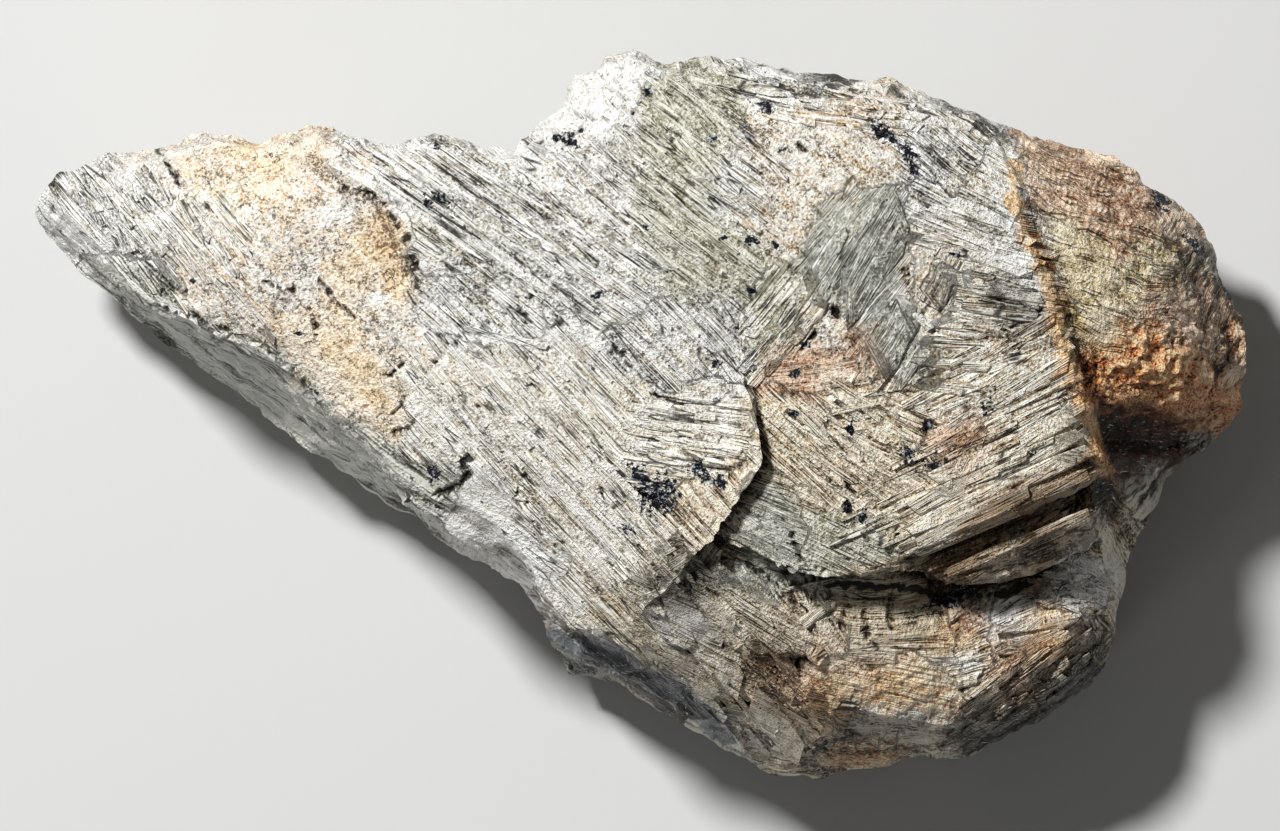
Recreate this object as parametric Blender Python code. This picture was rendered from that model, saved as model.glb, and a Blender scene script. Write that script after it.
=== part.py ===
"""Wollastonite specimen: one broken lump of rock lying on its broad, rough back.

The rock is a single solid. Its upper face is laid out in plan from control lines, each
point being (x, y, height), and the cleaved blades, knobbly patches and steps are worked
into it. Its underside is laid out in the same way around the flat it rests on.
Lengths are in millimetres and angles in degrees, and the mesh is made in metres.
"""

import math
import random

import bmesh
import bpy
from mathutils import Vector, geometry, noise

MM = 0.001
NODE = "wollastonite_specimen"

# Make-up of the mesh
ROWS_PER_BLADE = 3
COLUMN_SPACING = 1.5
BACK_SPACING = 3.2
EDGE_SPACING = 1.6
LINE_CLEARANCE = 0.55
LONGEST_EDGE = 2.6
SPLITTING_PASSES = 4
MERGE_PLAN = 1e-5
EASING_PASSES = 5
TRIANGLES = 9400
FLAT_TOLERANCE = 0.05
HALF_LENGTH = 95
TEXTURE_REACH = 24

# Rim of the rock seen from above, clockwise from the narrow tip
OUTLINE = (
    (-80, 26.5, 24), (-78.5, 30.5, 27), (-76.5, 31.5, 28), (-72.5, 32.5, 30),
    (-70.5, 34, 30), (-66, 35, 30), (-62, 36, 30), (-57, 37.5, 30), (-50.5, 36, 31),
    (-44, 38.5, 31), (-40.5, 38, 30), (-36, 36, 32), (-32.5, 35.5, 33), (-27.5, 37.5, 34),
    (-23, 36, 35), (-17, 34.5, 37), (-16.5, 36, 37), (-13.5, 38.5, 37), (-11, 40.5, 37),
    (-10.5, 42, 37), (-9, 44.5, 37), (-6.5, 45, 38), (-5, 46.5, 38), (-1, 48, 37),
    (1.5, 46.5, 37), (3.5, 46, 37), (8.5, 47, 36), (13, 47, 36), (18, 45.5, 36),
    (27, 44.5, 36), (33.5, 44.5, 34), (34.5, 43.5, 34), (43, 40, 33), (46.5, 38.5, 32),
    (56.5, 35.5, 28), (62, 34.5, 26), (66, 31, 25), (72.5, 27, 22), (74.5, 24, 21),
    (76, 19.5, 20), (79, 13, 19), (80, 6.5, 18), (79, 3, 17), (79.5, 0, 16),
    (76.5, -3.5, 15), (71.5, -7.5, 14), (69.5, -9, 14), (68, -12, 15), (66, -16, 16),
    (64, -20, 18), (62.5, -28, 18), (61, -32.5, 16), (59.5, -35.5, 14), (54.5, -39, 12),
    (49, -42, 11), (45, -44.5, 10), (40, -46, 10), (37, -46, 12), (33.5, -46.5, 14),
    (29, -47, 15), (23, -48.5, 15), (16.5, -48, 15), (11.5, -44.5, 13), (6.5, -42, 12),
    (1, -38.5, 11), (-3.5, -36, 10), (-10, -34.5, 10), (-12.5, -31, 11), (-14, -25.5, 13),
    (-16.5, -22.5, 14), (-26, -17.5, 13), (-31.5, -13.5, 13), (-36, -11, 13),
    (-40.5, -7.5, 13), (-46, -4, 13), (-51, 0.5, 13), (-55.5, 3.5, 14), (-64, 9.5, 16),
    (-68, 13.5, 18), (-73.5, 17.5, 20), (-77, 21, 21), (-79, 23.5, 22),
)

# Edges, steps and feet of steps on the upper face
FACE_LINES = {
    "shoulder": (
        (-71.5, 30.5, 34.5), (-65.5, 33, 37), (-59.5, 35, 38.5), (-56.5, 36, 39.5),
        (-51, 34.5, 40.5), (-45.5, 36, 41),
    ),
    "shoulder_mid": (
        (-40, 36, 42), (-36, 34.5, 45), (-32.5, 34, 45.5), (-27.5, 35.5, 46),
        (-23, 34.5, 46.5), (-18, 33, 47), (-16, 33.5, 47.5), (-15, 35.5, 46),
        (-12.5, 38, 46), (-9.5, 40, 46), (-9.5, 42.5, 45.5), (-8, 43.5, 45),
        (-5.5, 45, 45), (-1.5, 46.5, 45), (1, 45.5, 45.5), (3.5, 44.5, 46),
        (8, 45.5, 44.5),
    ),
    "rim_block": (
        (13, 46, 41.5), (18, 44.5, 42), (24.5, 43.5, 42.5), (29, 43.5, 42), (33, 43.5, 41),
    ),
    "rim_foot": (
        (11.5, 45, 42.5), (19, 43, 44), (21.5, 42.5, 44.5), (27.5, 42.5, 44),
        (31.5, 41.5, 43),
    ),
    "rim_top": (
        (11, 44, 45.5), (19, 42, 48), (21, 41, 48.5), (27.5, 41, 48), (31.5, 40.5, 47),
    ),
    "shoulder_right": (
        (34.5, 41.5, 42.5), (39.5, 39.5, 43), (43.5, 38.5, 42.5),
    ),
    "lump_shoulder": (
        (51.5, 35.5, 36.5), (56.5, 34, 34.5), (61.5, 32.5, 32), (65, 29.5, 31),
        (70.5, 26, 28), (73.5, 22, 27), (75, 18, 25.5), (77, 13.5, 24.5), (78.5, 6.5, 23),
        (77.5, 2.5, 21),
    ),
    "tip_ridge": (
        (-77, 28, 30), (-74.5, 25.5, 32), (-72.5, 23.5, 33), (-69.5, 19.5, 34),
        (-67, 16, 35.5), (-63.5, 14, 37),
    ),
    "crest": (
        (-63.5, 14, 37), (-60, 12.5, 38.5), (-55.5, 10, 40), (-50, 8.5, 41.5),
        (-45.5, 5.5, 42), (-40.5, 1, 43), (-37, -2.5, 43.5), (-34, -6, 43.5),
        (-31.5, -8.5, 43.5), (-26, -11.5, 43),
    ),
    "blade_edge": (
        (-26, -11.5, 43), (-24, -11, 44.5), (-18.5, -14.5, 44.5), (-14.5, -18, 44),
        (-9, -24.5, 42.5), (-6.5, -29, 41), (-3, -30, 40), (0, -32.5, 38.5), (4, -34, 37),
        (5.5, -36, 35.5), (10, -40.5, 30), (13.5, -44, 24),
    ),
    "blade_foot": (
        (-26, -13, 37), (-22.5, -16, 35), (-20, -18, 32), (-16.5, -21, 29),
        (-12.5, -25.5, 27), (-9.5, -29.5, 26), (-7, -31, 26), (-3, -32.5, 28),
        (0.5, -34.5, 25), (5, -38.5, 22), (9.5, -42, 19),
    ),
    "d_top": (
        (-42.5, 37, 41), (-41, 32.5, 45.5), (-37.5, 30.5, 47.5), (-34, 28.5, 48.5),
        (-31.5, 23.5, 49), (-28.5, 17.5, 48.5),
    ),
    "d_foot": (
        (-44, 36, 39.5), (-42, 32, 43.5), (-38.5, 29, 45.5), (-35, 27.5, 46),
        (-32.5, 22.5, 46.5), (-29.5, 17, 47),
    ),
    "n_top": (
        (13.5, 5, 52), (14.5, 2, 53), (15, -2, 53.5), (15.5, -6.5, 53.5), (12.5, -11, 53),
        (9, -17, 52), (4.5, -21.5, 50.5), (0, -25.5, 48),
    ),
    "n_foot": (
        (15, 5, 51.5), (16, 1.5, 51), (16, -2.5, 50.5), (17, -7, 50), (13.5, -12, 50),
        (10.5, -17.5, 49),
    ),
    "p_foot": (
        (8, -19, 47), (5.5, -22.5, 46), (1, -26.5, 44.5),
    ),
    "ledge_top": (
        (10.5, -19, 49), (14, -20, 49), (19, -21, 48.5), (24.5, -21.5, 48),
        (29.5, -21, 47.5), (34.5, -21.5, 46), (37, -22, 43), (41.5, -22.5, 42),
        (47, -21.5, 41), (53.5, -19.5, 39), (60, -16.5, 36),
    ),
    "ledge_foot": (
        (9.5, -20, 45), (14, -21.5, 44), (19, -23, 41), (24.5, -23.5, 40), (29.5, -23, 40),
        (34, -23.5, 38), (37, -24.5, 36), (42, -25.5, 34.5), (47.5, -25, 33.5),
        (54, -22.5, 32), (60.5, -19, 30),
    ),
    "m_top": (
        (34.5, -20, 47.5), (39.5, -17.5, 48), (47, -13.5, 47.5), (53.5, -10.5, 46.5),
        (59.5, -7.5, 44.5),
    ),
    "m_foot": (
        (36.5, -20.5, 45), (40.5, -19, 44.5), (47, -15, 44), (54, -12, 43), (60, -9.5, 41),
    ),
    "bound_top": (
        (45.5, 37.5, 42), (47, 33.5, 46), (49, 28.5, 48.5), (49.5, 23.5, 49.5),
        (52.5, 16.5, 49.5), (55, 8.5, 48.5), (57, 3, 47.5), (58.5, -1.5, 46),
        (60.5, -6.5, 43),
    ),
    "bound_foot": (
        (47, 36.5, 40), (49, 33.5, 42.5), (50.5, 28.5, 43.5), (51.5, 23.5, 43),
        (54.5, 16.5, 42), (57, 8.5, 41), (59, 3, 39.5), (60.5, -1.5, 37), (62.5, -6.5, 33),
    ),
    "low_crest": (
        (38.5, -44.5, 19), (45, -42.5, 20.5), (49.5, -40, 22), (54.5, -37, 23),
        (59.5, -32.5, 22.5),
    ),
    "q_top": (
        (28.5, -39, 33.5), (33.5, -40.5, 32), (39, -41, 30), (43.5, -40.5, 29),
    ),
    "q_foot": (
        (28.5, -40.5, 30), (33.5, -42, 27.5), (39, -42.5, 25.5), (44, -41.5, 26),
    ),
    "p1_top": (
        (13.5, -31, 39.5), (17.5, -32, 39.5), (21, -32, 38.5),
    ),
    "p1_foot": (
        (13, -32.5, 37), (17, -33, 36.5), (21, -33.5, 36.5),
    ),
    "p2_top": (
        (10.5, -36, 34.5), (15.5, -37.5, 34), (20.5, -38.5, 34),
    ),
    "p2_foot": (
        (11, -37.5, 31.5), (15.5, -39, 31), (20, -40, 31.5),
    ),
    "white_facet": (
        (-31.5, -11.5, 39.5), (-29, -13.5, 37.5), (-25.5, -16, 34), (-21.5, -18.5, 30.5),
    ),
}

# Heights of the upper face between those lines
FACE_POINTS = (
    (-71.5, 27.5, 36), (-66, 23, 39), (-68.5, 30, 36.5), (-63.5, 29.5, 38.5),
    (-57.5, 24, 42.5), (-51.5, 30.5, 43), (-54.5, 15, 44.5), (-47.5, 11, 45.5),
    (-41, 6, 46), (-50.5, 24, 45), (-45, 28, 46), (-38.5, 15, 46.5), (-33.5, 4.5, 47),
    (-45, 33.5, 43.5), (-26.5, 30, 47.5), (-21.5, 28, 49), (-19, 31, 48),
    (-13.5, 24, 50.5), (-5.5, 20, 51.5), (-23, 20, 49.5), (-11, 29.5, 50),
    (-5.5, 40.5, 48.5), (-7, 37.5, 49.5), (-2.5, 43, 47.5), (-0.5, 40, 49), (5, 41, 48.5),
    (7.5, 34.5, 51), (2, 28, 51.5), (12.5, 34.5, 51.5), (12.5, 21.5, 52.5),
    (7.5, 15, 52.5), (20.5, 37.5, 50.5), (28.5, 34.5, 51), (36.5, 34.5, 49.5),
    (41.5, 30.5, 49.5), (47, 28, 49), (47, 15, 50), (52, 4.5, 49), (28.5, 21.5, 51.5),
    (23, 11, 52), (33.5, 9.5, 51.5), (40, 20, 51), (-5.5, 2, 51.5), (1, -4.5, 52),
    (7.5, 2, 52.5), (-19, 2, 50), (-25.5, 8.5, 49), (-13.5, 11, 51), (-11, -11.5, 49),
    (-5.5, -19, 47.5), (-0.5, 11, 52.5), (-28, -3.5, 46.5), (-19, -7.5, 48),
    (7.5, -8.5, 53), (18.5, -1, 51.5), (20.5, -8.5, 50.5), (16.5, -15, 49.5),
    (27, -16.5, 49.5), (33.5, -2, 51), (47, -3.5, 49.5), (56, -2, 47.5), (27, -1, 52),
    (37.5, -11.5, 50), (39, 2, 51), (56, 32, 40.5), (62.5, 28.5, 38), (56.5, 24, 43.5),
    (62.5, 21.5, 42), (69, 22, 36), (61, 15, 43), (68, 15, 39.5), (73, 16.5, 32),
    (63, 8.5, 40.5), (70, 8.5, 38), (75, 8.5, 30), (66, 3, 36.5), (71.5, 2, 32.5),
    (76, 2, 26), (63, -1.5, 31), (68, -4, 24.5), (73, -2.5, 22), (65, -8, 22.5),
    (62, -12, 30), (63.5, -16.5, 24), (61.5, -24.5, 27), (60.5, -29, 24), (54.5, -15, 43),
    (44, -18.5, 44), (52, -27, 33), (57.5, -27.5, 30), (47, -29.5, 35), (53.5, -32.5, 29),
    (41.5, -31, 36.5), (27, -27, 39.5), (33.5, -29.5, 38.5), (27, -35, 37),
    (33.5, -36, 35), (39, -37.5, 32), (24.5, -44, 24), (29.5, -44.5, 23), (20.5, -43, 26),
    (7.5, -27, 43.5), (12.5, -26, 43), (18, -27, 41.5), (10, -32.5, 38.5), (23, -29.5, 39),
    (16.5, -35.5, 36), (3.5, -29.5, 42.5), (19, -46, 20), (33.5, -45, 19), (48, -36, 28),
)

# The flat the rock rests on, and the belly of the underside between it and the rim
REST_FLAT = (
    (-33, 13), (-27, 21), (-12, 24), (-2, 30), (19, 28), (31, 31), (40, 22), (45, 8),
    (39, -4), (42, -13), (28, -23), (12, -25), (4, -18), (-9, -13), (-16, -3), (-29, 4),
)
BELLY = (
    (-60, 24, 9), (-44, 32, 14), (-24, 33, 14), (-8, 39, 15), (8, 42, 14), (28, 40, 13),
    (46, 34, 11), (62, 25, 9), (70, 10, 7), (66, -2, 6), (58, -14, 6), (52, -30, 6),
    (38, -40, 4), (20, -42, 4.5), (4, -34, 4), (-8, -27, 4), (-22, -14, 5), (-38, -1, 5.5),
    (-52, 9, 7), (-64, 17, 9),
)

# How the rock breaks around each place: (x, y, way the fibres run, width of a blade,
# length of a blade, height of its steps, height of the knobs)
TEXTURE = (
    (-66, 23, -47, 2.6, 26, 0.8, 0.1), (-46, 19, -45, 3.0, 10, 0.2, 0.9),
    (-36, 11, -45, 3.0, 10, 0.2, 0.9), (-52, 32, -30, 3.0, 12, 0.4, 0.9),
    (-21, 24, -33, 2.3, 20, 0.9, 0.1), (-11, 25, -33, 2.3, 18, 0.9, 0.1),
    (-5, 18, -35, 2.3, 18, 0.8, 0.1), (-24, 15, -38, 2.6, 16, 0.8, 0.2),
    (-18, 2, -46, 3.2, 18, 1.3, 0.1), (-10, -10, -47, 3.2, 20, 1.4, 0.1),
    (-23, 5, -46, 3.0, 14, 1.3, 0.2), (-5, 0, -46, 3.0, 18, 1.2, 0.1),
    (-4, -18, -48, 2.8, 20, 1.2, 0.1), (0, 8, -45, 2.6, 16, 1.0, 0.1),
    (-5.5, 40, -40, 3.0, 6, 0.3, 1.6), (6, 37, -37, 3.2, 16, 1.0, 0.1),
    (3, 29, -37, 3.0, 16, 0.9, 0.1), (10, 20, -38, 2.8, 14, 0.9, 0.2),
    (20, 43, -12, 3.0, 22, 0.9, 0.3), (10, 11, -46, 3.0, 14, 0.9, 0.2),
    (29, 21, 50, 9.0, 16, 0.8, 0.0), (19, 12, 50, 2.8, 9, 1.2, 0.1),
    (33, 9, 50, 4.0, 10, 1.5, 0.0), (44, 15, -10, 3.0, 12, 1.1, 0.1),
    (49, 21, -15, 2.8, 12, 0.9, 0.1), (46, 8, 10, 3.0, 12, 1.1, 0.1),
    (41, 4, 25, 3.0, 12, 1.1, 0.1), (52, 2, 22, 3.0, 16, 1.1, 0.1),
    (39, 33, -35, 2.6, 12, 0.8, 0.4), (44, 25, -25, 2.6, 12, 0.8, 0.2),
    (47, -5, 24, 2.4, 40, 1.3, 0.0), (39, -11, 24, 2.4, 36, 1.3, 0.0),
    (53, -3, 24, 2.4, 30, 1.2, 0.0), (47, -17, 22, 2.0, 30, 1.6, 0.1),
    (20, -2, -40, 2.8, 12, 1.0, 0.2), (27, -9, -40, 2.8, 12, 1.0, 0.2),
    (33, -2, -30, 2.8, 12, 1.0, 0.2), (6, -3, -8, 2.6, 12, 1.1, 0.1),
    (9, -13, -45, 2.6, 10, 1.2, 0.3), (16, -17, -20, 9.0, 18, 0.2, 0.0),
    (10, -30, -50, 3.0, 12, 1.5, 0.2), (13, -40, -50, 3.0, 10, 1.4, 0.2),
    (21, -30, -45, 3.0, 12, 1.3, 0.2), (31, -28, -3, 2.4, 26, 0.6, 0.2),
    (31, -36, -5, 2.6, 18, 0.9, 0.5), (27, -44, -10, 2.6, 12, 0.8, 0.7),
    (56, -23, 30, 2.4, 12, 1.2, 0.3), (51, -30, 30, 2.6, 10, 1.0, 1.1),
    (47, -38, 32, 2.2, 16, 1.3, 0.3), (-48, 3, -37, 3.0, 26, 0.5, 0.1),
    (-30, -11, -37, 3.0, 26, 0.5, 0.1), (-5, -34, -35, 6.0, 14, 0.8, 0.1),
    (57, 28, 0, 3.0, 8, 0.0, 0.9), (62, 17, 0, 3.0, 8, 0.0, 1.0),
    (69, 5, 0, 3.0, 8, 0.0, 1.7), (74, 17, 0, 3.0, 8, 0.0, 1.4),
    (66, -5, 0, 3.0, 8, 0.0, 1.0), (64, -18, -60, 2.6, 8, 0.6, 0.8),
)
SWELL_HEIGHT = 0.5
SWELL_SIZE = 14.0
KNOB_SIZE = 3.6
STEP_SEED = 35

# Flanks: how far the underside draws in below the rim, and how rough it all is
FLANK_INSET = 2.5
FLANK_DROP = 8.0
FLANK_SPACING = 7.0
LOWEST_FLANK = 2.5
RIM_WANDER = 6.0
RIM_WANDER_LENGTH = 10.0
FLANK_LUMPS = ((11.0, 1.9), (4.5, 0.9))
BACK_LUMPS = ((12.0, 2.2), (5.0, 1.0))
STEEP = 0.55

# Look of the stone
STONE_COLOUR = (0.62, 0.57, 0.48, 1.0)
STONE_ROUGHNESS = 0.6


def clear_scene():
    for thing in list(bpy.data.objects):
        bpy.data.objects.remove(thing, do_unlink=True)


def along_line(points, spacing):
    """The line's points with more put between them, about that far apart."""
    dense = []
    for start, end in zip(points, points[1:]):
        count = max(1, round(math.dist(start[:2], end[:2]) / spacing))
        for step in range(count):
            part = step / count
            dense.append(tuple(a + (b - a) * part for a, b in zip(start, end)))
    dense.append(tuple(points[-1]))
    return dense


class Plan:
    """Points and lines in plan, each with a height, joined into triangles."""

    def __init__(self, rim):
        self.places = []
        self.heights = []
        self.number = {}
        self.lines = []
        self.rim = [self.point(p) for p in rim]

    def point(self, p):
        key = (round(p[0], 3), round(p[1], 3))
        if key not in self.number:
            self.number[key] = len(self.places)
            self.places.append(Vector(key))
            self.heights.append(p[2])
        return self.number[key]

    def line(self, points):
        ids = [self.point(p) for p in points]
        self.lines += [pair for pair in zip(ids, ids[1:]) if pair[0] != pair[1]]

    def triangles(self):
        places, _, faces, origins, _, _ = geometry.delaunay_2d_cdt(
            self.places, self.lines, [self.rim], 1, MERGE_PLAN
        )
        heights = []
        for place, origin in zip(places, origins):
            heights.append(self.heights[origin[0]] if origin else None)
        return places, heights, faces


def weights_in(triangle, x, y):
    """How much each corner counts at that place, which may lie outside."""
    a, b, c = triangle
    area = (b.x - a.x) * (c.y - a.y) - (c.x - a.x) * (b.y - a.y)
    if abs(area) < 1e-9:
        return -1.0, -1.0, -1.0
    to_b = ((x - a.x) * (c.y - a.y) - (c.x - a.x) * (y - a.y)) / area
    to_c = ((b.x - a.x) * (y - a.y) - (x - a.x) * (b.y - a.y)) / area
    return 1.0 - to_b - to_c, to_b, to_c


class Surface:
    """Height of a plan anywhere inside its rim."""

    CELL = 4.0

    def __init__(self, plan):
        self.places, self.heights, self.faces = plan.triangles()
        self.cells = {}
        for face in self.faces:
            corners = [self.places[i] for i in face]
            low_x, high_x = (f(p.x for p in corners) for f in (min, max))
            low_y, high_y = (f(p.y for p in corners) for f in (min, max))
            for i in range(self.cell(low_x), self.cell(high_x) + 1):
                for j in range(self.cell(low_y), self.cell(high_y) + 1):
                    self.cells.setdefault((i, j), []).append((face, corners))

    def cell(self, value):
        return math.floor(value / self.CELL)

    def height(self, x, y):
        """The height there, or None outside the rim."""
        for face, corners in self.cells.get((self.cell(x), self.cell(y)), ()):
            shares = weights_in(corners, x, y)
            if min(shares) > -1e-6:
                return sum(s * self.heights[i] for s, i in zip(shares, face))
        return None


def lattice(surface, kept_clear, across, along, angle=0.0, centres=None):
    """Places inside the rim in rows along that angle, clear of the points given.
    With centres, only places within their reach."""
    near = {}
    for x, y in kept_clear:
        near.setdefault((math.floor(x), math.floor(y)), []).append((x, y))
    turn = math.radians(angle)
    for row in range(-math.ceil(HALF_LENGTH / across), math.ceil(HALF_LENGTH / across)):
        for column in range(-math.ceil(HALF_LENGTH / along), math.ceil(HALF_LENGTH / along)):
            u, v = column * along, (row + 0.5) * across
            x = u * math.cos(turn) - v * math.sin(turn)
            y = u * math.sin(turn) + v * math.cos(turn)
            if centres and min(math.dist((x, y), c) for c in centres) > TEXTURE_REACH:
                continue
            height = surface.height(x, y)
            if height is not None and not is_close(near, x, y):
                yield x, y, height


def is_close(near, x, y):
    i, j = math.floor(x), math.floor(y)
    for a in (i - 1, i, i + 1):
        for b in (j - 1, j, j + 1):
            for place in near.get((a, b), ()):
                if math.dist(place, (x, y)) < LINE_CLEARANCE:
                    return True
    return False


class Breakage:
    """Steps of broken blades and knobs, by the texture of the nearest place."""

    def __init__(self, seed):
        self.seed = seed

    def chance(self, *numbers):
        """A number from -1 to 1 that is always the same for the same numbers."""
        return random.Random(repr((self.seed,) + numbers)).uniform(-1.0, 1.0)

    def nearest(self, x, y):
        """The texture of the nearest place, with the borders between places ragged."""
        sway = noise.noise_vector(Vector((x, y, 0.0)) / 5.0) * 2.0
        x, y = x + sway.x, y + sway.y
        return min(TEXTURE, key=lambda t: math.dist(t[:2], (x, y)))

    def height(self, x, y):
        """What the breakage adds to the smooth face there."""
        _, _, angle, width, length, steps, knobs = self.nearest(x, y)
        turn = math.radians(angle)
        along = x * math.cos(turn) + y * math.sin(turn)
        across = y * math.cos(turn) - x * math.sin(turn)
        strip = math.floor(across / width)
        brick = math.floor(along / length + self.chance(strip, angle))
        step = steps * (0.6 * self.chance(strip, angle, 1) + 0.5 * self.chance(strip, brick))
        swell = SWELL_HEIGHT * noise.noise(Vector((x, y, 3.0)) / SWELL_SIZE)
        knob = knobs * noise.noise(Vector((x, y, 9.0)) / KNOB_SIZE) * 1.6
        return step + swell + knob


def wandering_rim():
    """The rim turning anticlockwise, its height wandering up and down."""
    rim = []
    for x, y, height in reversed(along_line(OUTLINE + OUTLINE[:1], EDGE_SPACING)[:-1]):
        wander = RIM_WANDER * noise.noise(Vector((x, y, 5.0)) / RIM_WANDER_LENGTH)
        rim.append((x, y, max(LOWEST_FLANK + FLANK_DROP / 2, height + wander)))
    return rim


def face_surface(rim):
    plan = Plan(rim)
    for points in FACE_LINES.values():
        plan.line(points)
    for p in FACE_POINTS:
        plan.point(p)
    return Surface(plan)


def flank():
    """Places a little inside and below the rim, all the way round."""
    dense = along_line(OUTLINE + OUTLINE[:1], FLANK_SPACING)[:-1]
    for before, here, after in zip(dense[-1:] + dense[:-1], dense, dense[1:] + dense[:1]):
        way = Vector((after[1] - before[1], before[0] - after[0])).normalized()
        x, y = here[0] + way.x * FLANK_INSET, here[1] + way.y * FLANK_INSET
        yield x, y, max(LOWEST_FLANK, here[2] - FLANK_DROP)


def back_surface(rim):
    plan = Plan(rim)
    plan.line([(x, y, 0.0) for x, y in REST_FLAT + REST_FLAT[:1]])
    for p in BELLY + tuple(flank()):
        plan.point(p)
    return Surface(plan)


def upper_face(rim):
    """Places, heights and triangles of the upper face."""
    surface = face_surface(OUTLINE)
    breakage = Breakage(STEP_SEED)
    plan = Plan(rim)
    for points in FACE_LINES.values():
        plan.line(along_line(points, EDGE_SPACING))
    fixed = len(plan.places)
    kept_clear = [tuple(p) for p in plan.places]
    for angle, width in sorted({t[2:4] for t in TEXTURE}):
        centres = [t[:2] for t in TEXTURE if t[2:4] == (angle, width)]
        rows = width / ROWS_PER_BLADE
        for p in lattice(surface, kept_clear, rows, COLUMN_SPACING, angle, centres):
            if breakage.nearest(p[0], p[1])[2:4] == (angle, width):
                plan.point(p)
    places, heights, faces = plan.triangles()
    heights = eased(heights, faces, fixed)
    for i in range(len(rim), len(places)):
        heights[i] += breakage.height(places[i].x, places[i].y)
    return places, heights, faces


def eased(heights, faces, fixed):
    """The heights with the folds between control points rounded off."""
    neighbours = {}
    for face in faces:
        for i, j in zip(face, face[1:] + face[:1]):
            neighbours.setdefault(i, set()).add(j)
            neighbours.setdefault(j, set()).add(i)
    for _ in range(EASING_PASSES):
        before = list(heights)
        for i in range(fixed, len(heights)):
            around = neighbours.get(i)
            if around:
                heights[i] = sum(before[j] for j in around) / len(around)
    return heights


def underside(rim):
    """Places, heights and triangles of the underside, with its flat left flat."""
    surface = back_surface(OUTLINE)
    plan = Plan(rim)
    plan.line([(x, y, 0.0) for x, y in REST_FLAT + REST_FLAT[:1]])
    kept_clear = [tuple(p) for p in plan.places]
    for p in lattice(surface, kept_clear, BACK_SPACING, BACK_SPACING):
        if p[2] > FLAT_TOLERANCE:
            plan.point(p)
    return plan.triangles()


def closed_mesh(rim_count, face, back):
    """One closed mesh of the two sides, which share the points of the rim."""
    points = [(p.x * MM, p.y * MM, h * MM) for p, h in zip(face[0], face[1])]
    polygons = [tuple(f) for f in face[2]]
    renumber = {i: i for i in range(rim_count)}
    for i in range(rim_count, len(back[0])):
        renumber[i] = len(points)
        points.append((back[0][i].x * MM, back[0][i].y * MM, back[1][i] * MM))
    polygons += [tuple(renumber[i] for i in reversed(f)) for f in back[2]]
    mesh = bpy.data.meshes.new(NODE)
    mesh.from_pydata(points, [], polygons)
    mesh.update()
    return mesh


def split_long_edges(solid):
    """Steep flanks get triangles as small as the rest."""
    for _ in range(SPLITTING_PASSES):
        long = [e for e in solid.edges if e.calc_length() > LONGEST_EDGE * MM]
        long = [e for e in long if max(v.co.z for v in e.verts) > FLAT_TOLERANCE * MM]
        bmesh.ops.subdivide_edges(solid, edges=long, cuts=1)
        bmesh.ops.triangulate(solid, faces=[f for f in solid.faces if len(f.verts) > 3])


def roughen(solid):
    """Pushes the flanks and the underside in and out, leaving the flat alone."""
    solid.normal_update()
    moves = {}
    for vertex in solid.verts:
        up = vertex.normal.z
        if up > STEEP or vertex.co.z < FLAT_TOLERANCE * MM:
            continue
        lumps = BACK_LUMPS if up < -STEEP else FLANK_LUMPS
        place = vertex.co / MM
        push = sum(size * noise.noise(place / spread) for spread, size in lumps)
        room = min(1.0, (STEEP - up) / STEEP) * min(1.0, place.z / 4.0)
        moves[vertex] = vertex.normal * push * room * MM
    for vertex, move in moves.items():
        vertex.co += move


def broken(mesh):
    solid = bmesh.new()
    solid.from_mesh(mesh)
    split_long_edges(solid)
    roughen(solid)
    solid.to_mesh(mesh)
    solid.free()
    return mesh


def thinned(rock, triangles):
    """The rock with its triangles kept for the edges and steps."""
    thin = rock.modifiers.new("thin", "DECIMATE")
    thin.ratio = triangles / len(rock.data.polygons)
    thin.use_collapse_triangulate = True
    bpy.context.view_layer.update()
    seen = rock.evaluated_get(bpy.context.evaluated_depsgraph_get())
    mesh = bpy.data.meshes.new_from_object(seen)
    rock.modifiers.clear()
    rock.data = mesh


def seated(mesh):
    """The mesh moved so that its box is centred over the origin and rests at zero."""
    for vertex in mesh.vertices:
        if vertex.co.z < FLAT_TOLERANCE * MM:
            vertex.co.z = 0.0
    xs, ys = ([v.co[axis] for v in mesh.vertices] for axis in (0, 1))
    middle = Vector(((min(xs) + max(xs)) / 2, (min(ys) + max(ys)) / 2, 0.0))
    for vertex in mesh.vertices:
        vertex.co -= middle
    mesh.update()


def stone():
    material = bpy.data.materials.new("stone")
    material.use_nodes = True
    shader = material.node_tree.nodes["Principled BSDF"]
    shader.inputs["Base Color"].default_value = STONE_COLOUR
    shader.inputs["Roughness"].default_value = STONE_ROUGHNESS
    return material


clear_scene()
rim_line = wandering_rim()
whole = broken(closed_mesh(len(rim_line), upper_face(rim_line), underside(rim_line)))
rock = bpy.data.objects.new(NODE, whole)
bpy.context.scene.collection.objects.link(rock)
thinned(rock, TRIANGLES)
seated(rock.data)
rock.data.materials.append(stone())
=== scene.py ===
import math

import bmesh
import bpy
import numpy as np
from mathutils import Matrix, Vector, geometry
from mathutils.bvhtree import BVHTree


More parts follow.
